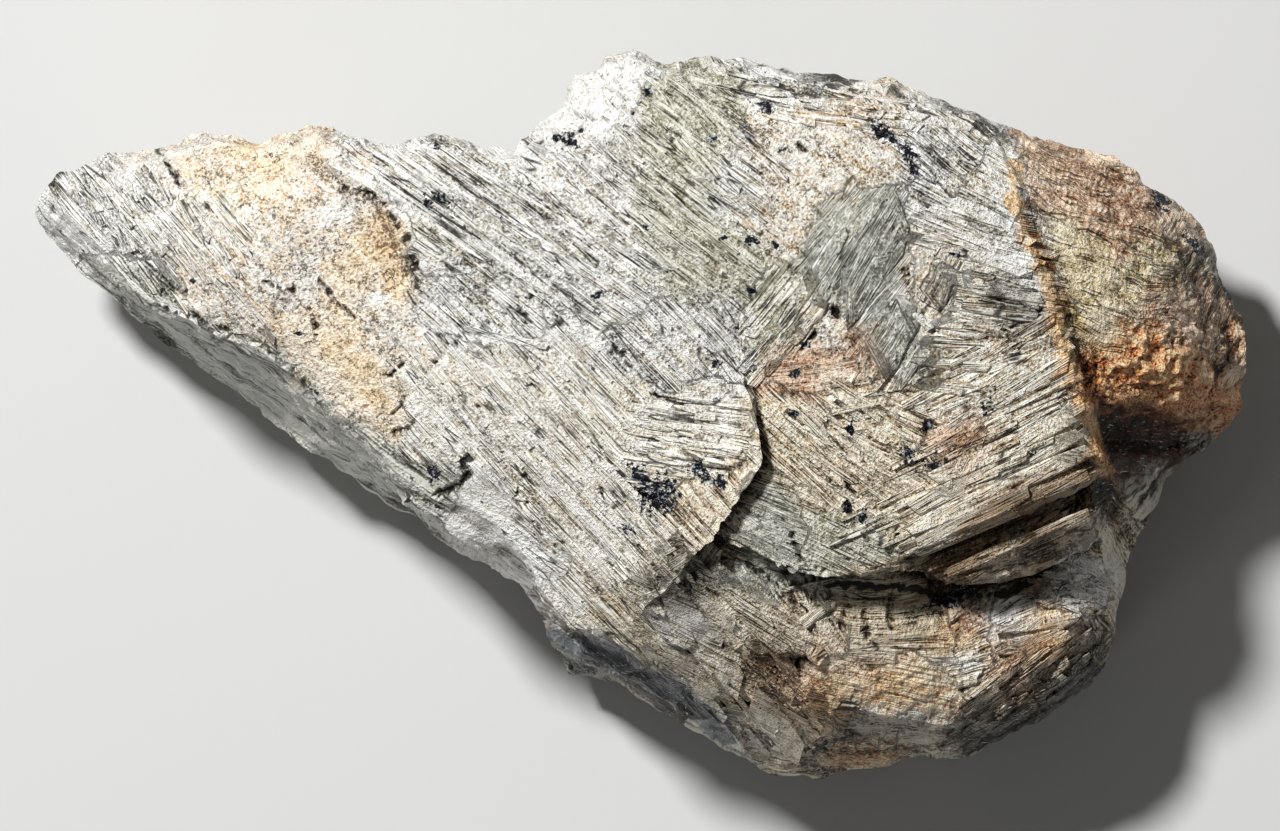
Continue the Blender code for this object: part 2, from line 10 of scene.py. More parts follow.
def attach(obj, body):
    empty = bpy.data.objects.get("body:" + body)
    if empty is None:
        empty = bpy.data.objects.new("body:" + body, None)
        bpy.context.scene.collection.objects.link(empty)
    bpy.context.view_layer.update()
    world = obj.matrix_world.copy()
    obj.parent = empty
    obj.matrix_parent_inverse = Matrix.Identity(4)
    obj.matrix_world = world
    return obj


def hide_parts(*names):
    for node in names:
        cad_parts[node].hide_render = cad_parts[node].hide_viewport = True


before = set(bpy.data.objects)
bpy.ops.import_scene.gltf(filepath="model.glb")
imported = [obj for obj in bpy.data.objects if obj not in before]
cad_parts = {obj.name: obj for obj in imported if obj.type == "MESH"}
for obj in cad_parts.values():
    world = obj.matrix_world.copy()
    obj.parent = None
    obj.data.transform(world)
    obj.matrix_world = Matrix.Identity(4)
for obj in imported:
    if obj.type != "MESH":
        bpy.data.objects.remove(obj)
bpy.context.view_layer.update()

MM = 0.001

# ---------------------------------------------------------------- the rock
# One lump broken from a vein of wollastonite: bundles of long cleaved blades, a grainy
# patch of the wall rock at its left, and a rounded, weathered brown shoulder at its right.
# It broke in steps along and across the blades, so the face is a pile of splintered slabs.

# Rim of the rock in plan, clockwise from its narrow tip: (x, y, height) in millimetres
RIM = (
    (-80, 26.5, 24), (-78.5, 30.5, 27), (-76.5, 31.5, 28), (-72.5, 32.5, 30),
    (-70.5, 34, 30), (-66, 35, 30), (-62, 36, 30), (-57, 37.5, 30), (-50.5, 36, 31),
    (-44, 38.5, 31), (-40.5, 38, 30), (-36, 36, 32), (-32.5, 35.5, 33), (-27.5, 37.5, 34),
    (-23, 36, 35), (-17, 34.5, 37), (-16.5, 36, 37), (-13.5, 38.5, 37), (-11, 40.5, 37),
    (-10.5, 42, 37), (-9, 44.5, 37), (-6.5, 45, 38), (-5, 46.5, 38), (-1, 48, 37),
    (1.5, 46.5, 37), (3.5, 46, 37), (8.5, 47, 36), (13, 47, 36), (18, 45.5, 36),
    (27, 44.5, 36), (33.5, 44.5, 34), (34.5, 43.5, 34), (43, 40, 33), (46.5, 38.5, 32),
    (56.5, 35.5, 28), (62, 34.5, 26), (66, 31, 25), (72.5, 27, 22), (74.5, 24, 21),
    (76, 19.5, 20), (79, 13, 19), (80, 6.5, 18), (79, 3, 17), (79.5, 0, 16),
    (76.5, -3.5, 15), (71.5, -7.5, 14), (69.5, -9, 14), (68, -12, 15), (66, -16, 16),
    (64, -20, 18), (62.5, -28, 18), (61, -32.5, 16), (59.5, -35.5, 14), (54.5, -39, 12),
    (49, -42, 11), (45, -44.5, 10), (40, -46, 10), (37, -46, 12), (33.5, -46.5, 14),
    (29, -47, 15), (23, -48.5, 15), (16.5, -48, 15), (11.5, -44.5, 13), (6.5, -42, 12),
    (1, -38.5, 11), (-3.5, -36, 10), (-10, -34.5, 10), (-12.5, -31, 11), (-14, -25.5, 13),
    (-16.5, -22.5, 14), (-26, -17.5, 13), (-31.5, -13.5, 13), (-36, -11, 13),
    (-40.5, -7.5, 13), (-46, -4, 13), (-51, 0.5, 13), (-55.5, 3.5, 14), (-64, 9.5, 16),
    (-68, 13.5, 18), (-73.5, 17.5, 20), (-77, 21, 21), (-79, 23.5, 22),
)

# Edges, steps and feet of steps on the broken face
EDGES = {
    "shoulder": (
        (-71.5, 30.5, 34.5), (-65.5, 33, 37), (-59.5, 35, 38.5), (-56.5, 36, 39.5),
        (-51, 34.5, 40.5), (-45.5, 36, 41),
    ),
    "shoulder_mid": (
        (-40, 36, 42), (-36, 34.5, 45), (-32.5, 34, 45.5), (-27.5, 35.5, 46),
        (-23, 34.5, 46.5), (-18, 33, 47), (-16, 33.5, 47.5), (-15, 35.5, 46),
        (-12.5, 38, 46), (-9.5, 40, 46), (-9.5, 42.5, 45.5), (-8, 43.5, 45),
        (-5.5, 45, 45), (-1.5, 46.5, 45), (1, 45.5, 45.5), (3.5, 44.5, 46),
        (8, 45.5, 44.5),
    ),
    "rim_block": (
        (13, 46, 41.5), (18, 44.5, 42), (24.5, 43.5, 42.5), (29, 43.5, 42), (33, 43.5, 41),
    ),
    "rim_foot": (
        (11.5, 45, 42.5), (19, 43, 44), (21.5, 42.5, 44.5), (27.5, 42.5, 44),
        (31.5, 41.5, 43),
    ),
    "rim_top": (
        (11, 44, 45.5), (19, 42, 48), (21, 41, 48.5), (27.5, 41, 48), (31.5, 40.5, 47),
    ),
    "shoulder_right": (
        (34.5, 41.5, 42.5), (39.5, 39.5, 43), (43.5, 38.5, 42.5),
    ),
    "lump_shoulder": (
        (51.5, 35.5, 36.5), (56.5, 34, 34.5), (61.5, 32.5, 32), (65, 29.5, 31),
        (70.5, 26, 28), (73.5, 22, 27), (75, 18, 25.5), (77, 13.5, 24.5), (78.5, 6.5, 23),
        (77.5, 2.5, 21),
    ),
    "tip_ridge": (
        (-77, 28, 30), (-74.5, 25.5, 32), (-72.5, 23.5, 33), (-69.5, 19.5, 34),
        (-67, 16, 35.5), (-63.5, 14, 37),
    ),
    "crest": (
        (-63.5, 14, 37), (-60, 12.5, 38.5), (-55.5, 10, 40), (-50, 8.5, 41.5),
        (-45.5, 5.5, 42), (-40.5, 1, 43), (-37, -2.5, 43.5), (-34, -6, 43.5),
        (-31.5, -8.5, 43.5), (-26, -11.5, 43),
    ),
    "blade_edge": (
        (-26, -11.5, 43), (-24, -11, 44.5), (-18.5, -14.5, 44.5), (-15.3, -19, 43.5),
        (-12.2, -24.5, 42), (-9.8, -28, 40.5), (-3, -30.5, 40), (0.8, -33, 38.5), (4.2, -34, 37),
        (5.5, -36, 35.5), (10, -40.5, 30), (13.5, -44, 24),
    ),
    "blade_foot": (
        (-26, -13, 40.5), (-22.5, -16, 39.5), (-20, -18, 37.5), (-16, -21.8, 29),
        (-13.3, -25.8, 27), (-11.2, -29.6, 26), (-8, -31.8, 26), (-3.5, -34, 26),
        (0.5, -36.3, 24), (4.5, -39.6, 21), (9, -42.4, 18.5),
    ),
    "d_top": (
        (-42.5, 37, 41), (-41, 32.5, 45.5), (-37.5, 30.5, 47.5), (-34, 28.5, 48.5),
        (-31.5, 23.5, 49), (-28.5, 17.5, 48.5),
    ),
    "d_foot": (
        (-44, 36, 39.5), (-42, 32, 43.5), (-38.5, 29, 45.5), (-35, 27.5, 46),
        (-32.5, 22.5, 46.5), (-29.5, 17, 47),
    ),
    "n_top": (
        (13.5, 5, 52), (14.5, 2, 53), (15, -2, 53.5), (15.5, -6.5, 53.5), (12.5, -11, 53),
        (9, -17, 52), (4.5, -21.5, 50.5), (0, -25.5, 48),
    ),
    "n_foot": (
        (15, 5, 51.5), (16, 1.5, 51), (16, -2.5, 50.5), (17, -7, 50), (13.5, -12, 50),
        (10.5, -17.5, 49),
    ),
    "p_foot": (
        (8, -19, 48.6), (5.5, -22.5, 47.8), (1, -26.5, 46.3),
    ),
    "ledge_top": (
        (10.5, -19, 49), (14, -20, 49), (19, -21, 48.5), (24.5, -21.5, 48),
        (29.5, -21, 47.5), (34.5, -21.5, 46), (37, -22, 43), (41.5, -22.5, 42),
        (47, -21.5, 41), (53.5, -19.5, 39), (60, -16.5, 36),
    ),
    "ledge_foot": (
        (9.5, -20, 47), (14, -21.5, 46), (19, -22.7, 43.5), (24.5, -23, 42), (29.5, -22.7, 41.5),
        (34, -23.3, 39.5), (37, -24.5, 36), (42, -25.5, 34.5), (47.5, -25, 33.5),
        (54, -22.5, 32), (60.5, -19, 30),
    ),
    "m_top": (
        (34.5, -19, 47.5), (39.5, -17, 48), (47, -13.5, 47.5), (53.5, -10.7, 46.5),
        (59.3, -7.7, 44.5),
    ),
    "m_foot": (
        (36.5, -20, 45), (41, -18.8, 42), (47, -16, 40.5), (54, -13.2, 38.5), (59.8, -10.8, 37),
    ),
    "m2_top": (
        (40, -20.8, 43.5), (45, -18.7, 44), (50, -16.7, 43.5), (55, -14.5, 43),
        (59.5, -12.6, 41),
    ),
    "bound_top": (
        (45.5, 37.5, 42), (47, 33.5, 46), (49, 28.5, 48.5), (49.5, 23.5, 49.5),
        (52.5, 16.5, 49.5), (55, 8.5, 48.5), (57, 3, 47.5), (58.5, -1.5, 46),
        (60.5, -6.5, 43),
    ),
    "bound_foot": (
        (47, 36.5, 41), (49, 33.5, 44.5), (50.5, 28.5, 46.5), (51.5, 23.5, 47),
        (54.5, 16.5, 46.5), (57, 8.5, 45), (59, 3, 42), (60.5, -1.5, 37.5), (62.5, -6.5, 33),
    ),
    "low_crest": (
        (38.5, -44.5, 23), (45, -42.3, 25), (49.5, -39.8, 27), (54.5, -36.8, 27.5),
        (59.3, -32.3, 26.5),
    ),
    "q_top": (
        (28.5, -39, 33.5), (33.5, -40.5, 32), (39, -41, 30), (43.5, -40.5, 29),
    ),
    "q_foot": (
        (28.5, -40.5, 30), (33.5, -42, 27.5), (39, -42.5, 25.5), (44, -41.5, 26),
    ),
    "p1_top": (
        (13.5, -31, 39.5), (17.5, -32, 39.5), (21, -32, 38.5),
    ),
    "p1_foot": (
        (13, -32.5, 37), (17, -33, 36.5), (21, -33.5, 36.5),
    ),
    "p2_top": (
        (10.5, -36, 34.5), (15.5, -37.5, 34), (20.5, -38.5, 34),
    ),
    "p2_foot": (
        (11, -37.5, 31.5), (15.5, -39, 31), (20, -40, 31.5),
    ),
    "white_facet": (
        (-31.5, -11.5, 41.5), (-29, -13.3, 40.5), (-25.5, -15.8, 39), (-21.5, -18.2, 37),
    ),
}

# Heights of the face between those
HEIGHTS = (
    (-71.5, 27.5, 36), (-66, 23, 39), (-68.5, 30, 36.5), (-63.5, 29.5, 38.5),
    (-57.5, 24, 42.5), (-51.5, 30.5, 43), (-54.5, 15, 44.5), (-47.5, 11, 45.5),
    (-41, 6, 46), (-50.5, 24, 45), (-45, 28, 46), (-38.5, 15, 46.5), (-33.5, 4.5, 47),
    (-45, 33.5, 43.5), (-26.5, 30, 47.5), (-21.5, 28, 49), (-19, 31, 48),
    (-13.5, 24, 50.5), (-5.5, 20, 51.5), (-23, 20, 49.5), (-11, 29.5, 50),
    (-5.5, 40.5, 48.5), (-7, 37.5, 49.5), (-2.5, 43, 47.5), (-0.5, 40, 49), (5, 41, 48.5),
    (7.5, 34.5, 51), (2, 28, 51.5), (12.5, 34.5, 51.5), (12.5, 21.5, 52.5),
    (7.5, 15, 52.5), (20.5, 37.5, 50.5), (28.5, 34.5, 51), (36.5, 34.5, 49.5),
    (41.5, 30.5, 49.5), (47, 28, 49), (47, 15, 50), (52, 4.5, 49), (28.5, 21.5, 51.5),
    (23, 11, 52), (33.5, 9.5, 51.5), (40, 20, 51), (-5.5, 2, 51.5), (1, -4.5, 52),
    (7.5, 2, 52.5), (-19, 2, 50), (-25.5, 8.5, 49), (-13.5, 11, 51), (-11, -11.5, 49),
    (-5.5, -19, 47.5), (-0.5, 11, 52.5), (-28, -3.5, 46.5), (-19, -7.5, 48),
    (7.5, -8.5, 53), (18.5, -1, 51.5), (20.5, -8.5, 50.5), (16.5, -15, 49.5),
    (27, -16.5, 49.5), (33.5, -2, 51), (47, -3.5, 49.5), (56, -2, 47.5), (27, -1, 52),
    (37.5, -11.5, 50), (39, 2, 51), (56, 32, 42), (62.5, 28.5, 38), (56.5, 24, 46.5),
    (62.5, 21.5, 43.5), (69, 22, 36), (61, 15, 45.5), (68, 15, 41), (73, 16.5, 32),
    (63, 8.5, 43), (70, 8.5, 39.5), (75, 8.5, 30), (65, 3, 40), (71.5, 2, 35.5),
    (76, 2, 28), (63, -1.5, 31), (68, -4, 24.5), (73, -2.5, 22), (65, -8, 22.5),
    (62, -12, 30), (63.5, -16.5, 24), (61.5, -24, 32), (60.5, -28, 28), (57, -23.5, 32.5), 
    (52, -27, 33), (57.5, -27.5, 30), (47, -29.5, 35), (53.5, -32.5, 31.5),
    (41.5, -31, 36.5), (27, -27, 41), (33.5, -29.5, 39.5), (27, -35, 37),
    (33.5, -36, 36), (39, -37.5, 34), (24.5, -44, 28.5), (29.5, -44.5, 26.5), (20.5, -43, 30),
    (7.5, -27, 45.2), (12.5, -26, 44.8), (18, -27, 43), (10, -32.5, 40), (23, -29.5, 41),
    (16.5, -35.5, 36), (3.5, -29.5, 43.8), (19, -46, 25), (33.5, -44.8, 24), (48, -36, 32),
)

# The flat it rests on, and the belly of the underside
REST_FLAT = (
    (-33, 13), (-27, 21), (-12, 24), (-2, 30), (19, 28), (31, 31), (40, 22), (45, 8),
    (39, -4), (42, -13), (28, -23), (12, -25), (4, -18), (-9, -13), (-16, -3), (-29, 4),
)
BELLY = (
    (-60, 24, 9), (-44, 32, 14), (-24, 33, 14), (-8, 39, 15), (8, 42, 14), (28, 40, 13),
    (46, 34, 11), (62, 25, 9), (70, 10, 7), (66, -2, 6), (58, -14, 6), (52, -30, 6),
    (38, -40, 4), (20, -42, 4.5), (4, -34, 4), (-8, -27, 4), (-22, -14, 5), (-38, -1, 5.5),
    (-52, 9, 7), (-64, 17, 9),
)

# The solid model sits this far from the plan's own origin
PLAN_SHIFT = (-0.02, 0.34, 0.0)

# Colours of the stone: light, middle, dark and the tint it turns to in patches, then how
# far it is fibrous rather than grainy, how fine its fibres are, and how much a rise of
# the ground counts as a step across them
STONES = {
    "silver": ((250, 249, 245), (184, 182, 175), (60, 57, 50), (200, 192, 172), 1.0, 1.0, 0.05),
    "green": ((232, 230, 216), (182, 179, 162), (84, 80, 64), (160, 156, 128), 1.0, 1.0, 0.05),
    "cream": ((250, 248, 241), (216, 212, 201), (112, 105, 90), (228, 214, 190), 1.0, 1.0, 0.05),
    "grain": ((240, 237, 231), (200, 192, 181), (104, 97, 88), (222, 198, 164), 0.1, 1.0, 0.05),
    "peach": ((245, 236, 219), (212, 196, 172), (112, 94, 72), (222, 194, 156), 0.1, 1.0, 0.05),
    "white": ((236, 236, 232), (218, 216, 210), (160, 156, 146), (220, 214, 200), 0.2, 1.0, 0.05),
    "plate": ((232, 232, 222), (184, 185, 174), (104, 106, 94), (196, 192, 172), 1.0, 2.0, 0.05),
    "tan": ((250, 240, 220), (172, 160, 140), (48, 41, 29), (190, 168, 138), 0.9, 1.0, 0.05),
    "rust": ((236, 218, 192), (166, 146, 120), (66, 50, 32), (200, 164, 124), 0.6, 1.1, 0.05),
    "brown": ((244, 222, 196), (184, 152, 120), (70, 46, 28), (190, 134, 94), 0.85, 1.2, 0.2),
    "buff": ((252, 238, 210), (204, 186, 154), (86, 70, 44), (216, 196, 140), 0.8, 1.2, 0.2),
    "umber": ((244, 196, 146), (172, 108, 64), (22, 8, 3), (190, 98, 44), 0.3, 1.2, 0.2),
    "amber": ((255, 218, 168), (222, 148, 90), (50, 18, 5), (224, 120, 54), 0.3, 1.2, 0.2),
    # The next stone is a dark brown stain, darkened further as painted shadow in the hollow under the
    # brown shoulder
    "brown_stain_and_shade": ((110, 60, 32), (26, 11, 5), (5, 2, 1), (52, 22, 9), 0.3, 1.2, 0.2),
    "crust": ((246, 243, 236), (202, 193, 178), (92, 80, 65), (216, 188, 148), 0.25, 1.0, 0.05),
    "silk": ((255, 254, 250), (222, 218, 210), (46, 42, 37), (206, 196, 182), 1.0, 1.2, 0.05),
    "dusk": ((236, 238, 230), (146, 149, 138), (84, 86, 76), (152, 148, 128), 1.0, 2.0, 0.05),
    "clay": ((232, 208, 184), (152, 124, 98), (62, 42, 28), (182, 134, 96), 0.5, 1.1, 0.05),
    "apricot": ((255, 242, 220), (226, 197, 162), (92, 66, 42), (224, 176, 126), 0.6, 1.1, 0.05),
    # The next stone is dark grey: partly a dark band low on the face, partly painted shade on a ledge
    # wall and on the lower right flank
    "gloom": ((186, 180, 166), (86, 81, 72), (14, 12, 10), (104, 90, 70), 1.0, 1.0, 0.05),
    "side": ((222, 222, 212), (106, 106, 98), (12, 12, 9), (106, 102, 86), 1.0, 0.42, 0.35),
    "slate": ((150, 152, 150), (62, 66, 70), (3, 5, 8), (40, 50, 64), 0.9, 0.9, 0.7),
    "straw": ((253, 246, 230), (198, 186, 163), (68, 57, 40), (214, 190, 154), 1.0, 1.0, 0.05),
    "olive": ((228, 216, 192), (178, 165, 140), (60, 50, 34), (186, 160, 124), 1.0, 1.2, 0.05),
    "fan": ((255, 250, 238), (190, 179, 160), (42, 36, 26), (190, 166, 132), 1.0, 1.0, 0.05),
    "shade": ((176, 150, 118), (78, 62, 44), (14, 9, 5), (104, 76, 48), 1.0, 1.0, 0.05),
    # The next stone is near black: painted shadow on the low flank at the lower right, which faces away
    # from the lamp
    "painted_shadow": ((104, 102, 98), (18, 18, 18), (2, 2, 3), (10, 13, 20), 1.0, 1.0, 0.5),
}

# How the rock breaks around each place, stone by stone: (x, y, way the fibres run in
# degrees, width and length of a blade, height of its steps, height of the knobs)
TEXTURE = {
    "silver": (
        (-66, 23, -47, 2.2, 34, 0.34, 0.1), (-74, 26, -47, 2.2, 30, 0.3, 0.3),
        (-30, 33, -34, 2, 22, 0.25, 0.4), (-21, 29, -34, 2, 30, 0.28, 0.1),
        (-11, 25, -34, 2, 30, 0.2, 0.1), (-25, 22, -34, 2, 24, 0.24, 0.2),
        (-5, 18, -34, 2, 26, 0.2, 0.1), (-24, 15, -40, 1.8, 22, 0.18, 0.3),
        (-14, 15, -40, 1.8, 22, 0.2, 0.1), (0, 8, -46, 2, 28, 0.22, 0.1),
        (-4, 30, -37, 2, 22, 0.26, 0.3), (20, 43, -12, 2, 30, 0.36, 0.3),
        (14, 31, -37, 2, 16, 0.26, 0.3), (10, 11, -46, 2, 22, 0.22, 0.2),
        (49, 21, -12, 2, 14, 0.34, 0.1), (39, 33, -37, 1.9, 12, 0.26, 0.5),
        (44, 27, -26, 2, 14, 0.28, 0.3), (37, 25, -26, 2, 12, 0.28, 0.4),
        (-18, -20, -37, 2.2, 24, 0.26, 0.1),
    ),
    "cream": (
        (-57, 25, -47, 2, 26, 0.3, 0.2), (-18, 2, -46, 2.4, 34, 0.3, 0.1),
        (-10, -10, -46, 2.4, 36, 0.3, 0.1), (-26, 2, -46, 2.2, 24, 0.3, 0.3),
        (-5, 0, -46, 2.2, 32, 0.26, 0.1), (-4, -18, -46, 2.2, 26, 0.44, 0.1),
        (-12, 7, -46, 2, 30, 0.22, 0.1), (6, -3, -8, 1.9, 14, 0.42, 0.2),
        (4, -29, -50, 2.2, 18, 0.42, 0.2), (-10, -26, -46, 2.2, 26, 0.3, 0.1),
    ),
    "grain": (
        (-58, 32, -47, 2, 9, 0.2, 0.6), (-46, 19, -47, 2.6, 12, 0.06, 0.45),
        (-53, 16, -47, 2.4, 14, 0.1, 0.4), (-41, 26, -47, 2.6, 12, 0.06, 0.45),
        (-33, 10, -47, 2.6, 10, 0.05, 0.4),
    ),
    "peach": (
        (-36, 20, -47, 2.6, 10, 0.05, 0.4), (-42, 9, -47, 2.6, 12, 0.06, 0.4),
        (-50, 32, -47, 2.6, 9, 0.08, 0.5), (-36, 3, -47, 2.4, 9, 0.08, 0.6),
    ),
    "white": (
        # The second of these paints a highlight where a smooth cleavage face on the lower left flank
        # catches the light
        (-5.5, 40, -37, 2.4, 5, 0.1, 1.1), (-23, -16, -37, 3, 16, 0.08, 0.1),
    ),
    "green": (
        (6, 37, -37, 2.2, 30, 0.26, 0.1), (3, 29, -37, 2.2, 30, 0.24, 0.1),
        (10, 20, -37, 2, 20, 0.3, 0.2), (19, 12, 50, 2.4, 14, 0.42, 0.1),
        (24, -16, -26, 3, 18, 0.2, 0.2),
    ),
    "plate": (
        (29, 21, 50, 5, 30, 0.07, 0), (27, 26, 50, 5, 30, 0.07, 0), (33, 9, 50, 4, 24, 0.12, 0),
        (40, 18, 50, 2.2, 10, 0.34, 0.2), (16, -17, -20, 6, 24, 0.08, 0),
    ),
    "dusk": (
        (26.5, 15.5, 50, 5, 30, 0.07, 0), (30.5, 16, 50, 5, 30, 0.07, 0),
    ),
    "clay": (
        (29, 7.5, 50, 2, 8, 0.3, 0.4), (22, 5.5, 12, 2, 8, 0.3, 0.5), (41, -4.8, 24, 2, 12, 0.3, 0.4),
        (22, -34, -12, 2, 12, 0.26, 0.5), (41.5, -27.5, 20, 2, 10, 0.4, 0.4),
        (49, -33, 34, 2, 12, 0.44, 0.6),
    ),
    "crust": (
        (24, 12.5, 50, 2, 8, 0.2, 0.5), (36.5, 15.5, 50, 1.6, 8, 0.2, 0.5),
        (37.5, 22, -26, 1.6, 8, 0.2, 0.8), (41.5, 21.5, -26, 1.6, 8, 0.2, 0.8),
        (19.5, 35.5, -37, 1.8, 8, 0.2, 0.6), (22.5, 31, -37, 1.8, 8, 0.2, 0.5),
        (18, 27, -37, 1.8, 8, 0.2, 0.5), (27, 36, -37, 1.8, 8, 0.2, 0.6),
    ),
    "silk": (
        (50, 18.5, -12, 1.6, 12, 0.3, 0.1), (57, -22.5, -8, 1.6, 16, 0.44, 0.1),
        (47, -26, 20, 1.8, 12, 0.4, 0.2),
    ),
    "fan": (
        (42.5, 28, -26, 2, 12, 0.3, 0.3), (44, 15, -12, 2.2, 16, 0.42, 0.1),
        (46, 8, 12, 2.2, 16, 0.42, 0.1), (41, 4, 28, 2.2, 16, 0.4, 0.1), (52, 3, 24, 2, 22, 0.4, 0.1),
        (13, -39, -50, 2.4, 14, 0.5, 0.2),
    ),
    # Dark grey: a dark band low down, and painted shade on the ledge wall of the step and on the lower
    # right flank
    "gloom": (
        (47.5, 14.8, -10, 2, 12, 0.4, 0.1), (29, -41.6, -5, 1.6, 18, 0.4, 0.2),
        (36, -42, -5, 1.6, 18, 0.4, 0.2), (4.5, -22.8, 25, 2, 12, 0.3, 0.3),
        (52, -35.5, 38, 1.8, 20, 0.6, 0.3), (58, -31.5, 38, 1.8, 20, 0.6, 0.3),
        (-12.5, -31.5, -37, 2, 12, 0.2, 0.7), (-6, -36, -37, 2, 12, 0.2, 0.7),
        (73, 20, 60, 1.8, 9, 0.16, 0.9),
    ),
    "straw": (
        (47, -5, 24, 2, 44, 0.42, 0), (39, -11, 24, 2, 40, 0.42, 0), (54, -3, 24, 2, 34, 0.4, 0),
        (20, -2, -46, 2, 14, 0.3, 0.3), (33, -2, -26, 2, 14, 0.3, 0.3), (27, 3, 12, 2, 12, 0.28, 0.4),
        (10, -30, -50, 2.4, 16, 0.5, 0.2), (42, -32.5, 20, 2, 8, 0.3, 0.8),
        (-5, -27.6, -46, 2.2, 22, 0.3, 0.2), (-1, -29, -46, 2.2, 20, 0.3, 0.2),
        (3, -31.8, -46, 2.2, 20, 0.3, 0.2), (7, -35, -50, 2.2, 20, 0.4, 0.2),
        (10.5, -38.5, -50, 2.2, 20, 0.4, 0.2),
    ),
    "tan": (
        (47, -18, 24, 1.8, 34, 0.6, 0.1), (56, -14.2, 24, 1.8, 30, 0.6, 0.1),
        (26, -9, -46, 2, 14, 0.3, 0.3), (33, -9, -26, 2, 14, 0.28, 0.4),
        (9, -13, -46, 1.9, 12, 0.42, 0.4), (21, -30, -50, 2.4, 16, 0.42, 0.2),
        (20, -46, -3, 2, 12, 0.22, 0.6), (37, -45, -3, 2, 12, 0.22, 0.6),
        (45, -37.5, 38, 1.8, 20, 0.6, 0.3), (1, -39.5, -37, 2, 12, 0.2, 0.7),
        (6.5, -43.5, -37, 2, 12, 0.2, 0.7), (63, -16, -60, 1.8, 9, 0.2, 0.7),
        (61, -27, -60, 1.8, 12, 0.26, 0.5),
    ),
    "shade": (
        (45, -16.6, 24, 1.8, 30, 0.3, 0.1), (52, -13.8, 24, 1.8, 30, 0.3, 0.1),
        (58, -11.4, 24, 1.8, 30, 0.3, 0.1), (43, -22.5, 24, 1.8, 30, 0.3, 0.1),
        (50, -19.6, 24, 1.8, 30, 0.3, 0.1), (16.5, -34.5, -50, 2, 12, 0.3, 0.3),
    ),
    "olive": (
        (30, -28, -3, 1.6, 30, 0.14, 0.2), (37, -28, -3, 1.6, 24, 0.18, 0.4),
    ),
    "apricot": (
        (26, -34.5, -12, 2, 18, 0.26, 0.5), (32, -36, -12, 2, 18, 0.26, 0.5),
        (38, -37.5, -12, 2, 16, 0.26, 0.5), (29, -45.8, -3, 2, 12, 0.22, 0.6),
        (53.5, -28.5, 14, 2, 12, 0.4, 0.4),
    ),
    "rust": (
        (25, -44, -3, 2, 12, 0.22, 0.7), (33, -44, -3, 2, 12, 0.2, 0.7),
    ),
    # Painted shadow on the low flank at the lower right
    "painted_shadow": (
        (45.5, -42.5, 38, 1.8, 20, 0.5, 0.3), (50.5, -40.5, 38, 1.8, 20, 0.5, 0.3),
        (55.5, -37.5, 38, 1.8, 20, 0.5, 0.3), (60, -34.5, 38, 1.8, 16, 0.5, 0.3),
    ),
    "side": (
        (-56, 7, -37, 2.2, 34, 0.16, 0.2), (-48, 2, -37, 2.2, 34, 0.16, 0.2),
        (-40, -4, -37, 2.2, 34, 0.16, 0.2), (-68, 15, -37, 2.2, 34, 0.16, 0.2),
        (-30, -14, -37, 2.4, 16, 0.1, 0.1), (74, -6, 40, 2, 16, 0.2, 0.4),
        (68, -10, 40, 2, 16, 0.24, 0.4),
    ),
    "slate": (
        (-5, -32.4, -37, 4, 18, 0.12, 0.1), (3, -36.8, -37, 3, 18, 0.12, 0.1),
    ),
    "brown": (
        (56, 30, -24, 1.6, 12, 0.2, 0.8), (63, 26, -24, 1.6, 12, 0.2, 0.8),
        (69, 13, -24, 1.6, 10, 0.12, 0.9), (74, 14, 60, 1.8, 9, 0.1, 1),
        (71.5, 25, 60, 1.8, 9, 0.16, 0.9), (77, 8, 60, 1.8, 9, 0.1, 1.1),
    ),
    "buff": (
        (56, 21, -24, 1.6, 12, 0.16, 0.8), (62, 16, -24, 1.6, 10, 0.16, 0.8),
        (69, 21, -24, 1.6, 12, 0.2, 0.8), (59.5, 10.5, -24, 1.6, 10, 0.16, 0.8),
    ),
    "amber": (
        (60.5, 5, -24, 2, 9, 0, 1.2), (64, 8, -24, 2, 9, 0, 1.2), (64.5, 4, -24, 2, 9, 0, 1.2),
        (68, 7.5, -24, 2, 9, 0, 1.2), (68.5, 2.8, -24, 2, 9, 0, 1.2), (72, 4.5, -24, 2, 9, 0, 1.2),
    ),
    "umber": (
        (72.5, 0.5, -24, 2, 9, 0, 1.2), (76, 0.5, -24, 2, 9, 0, 1.2), (77, -1, 30, 2, 12, 0.16, 0.7),
    ),
    # Dark brown stain with painted shadow in the hollow under the brown shoulder
    "brown_stain_and_shade": (
        (61, -1.5, -24, 2.4, 9, 0, 0.8), (66, -2.8, -24, 2.4, 9, 0, 0.8),
        (70, -4.5, -24, 2.4, 9, 0, 0.8), (64.5, -6, -24, 2.4, 9, 0, 0.8),
    ),
}

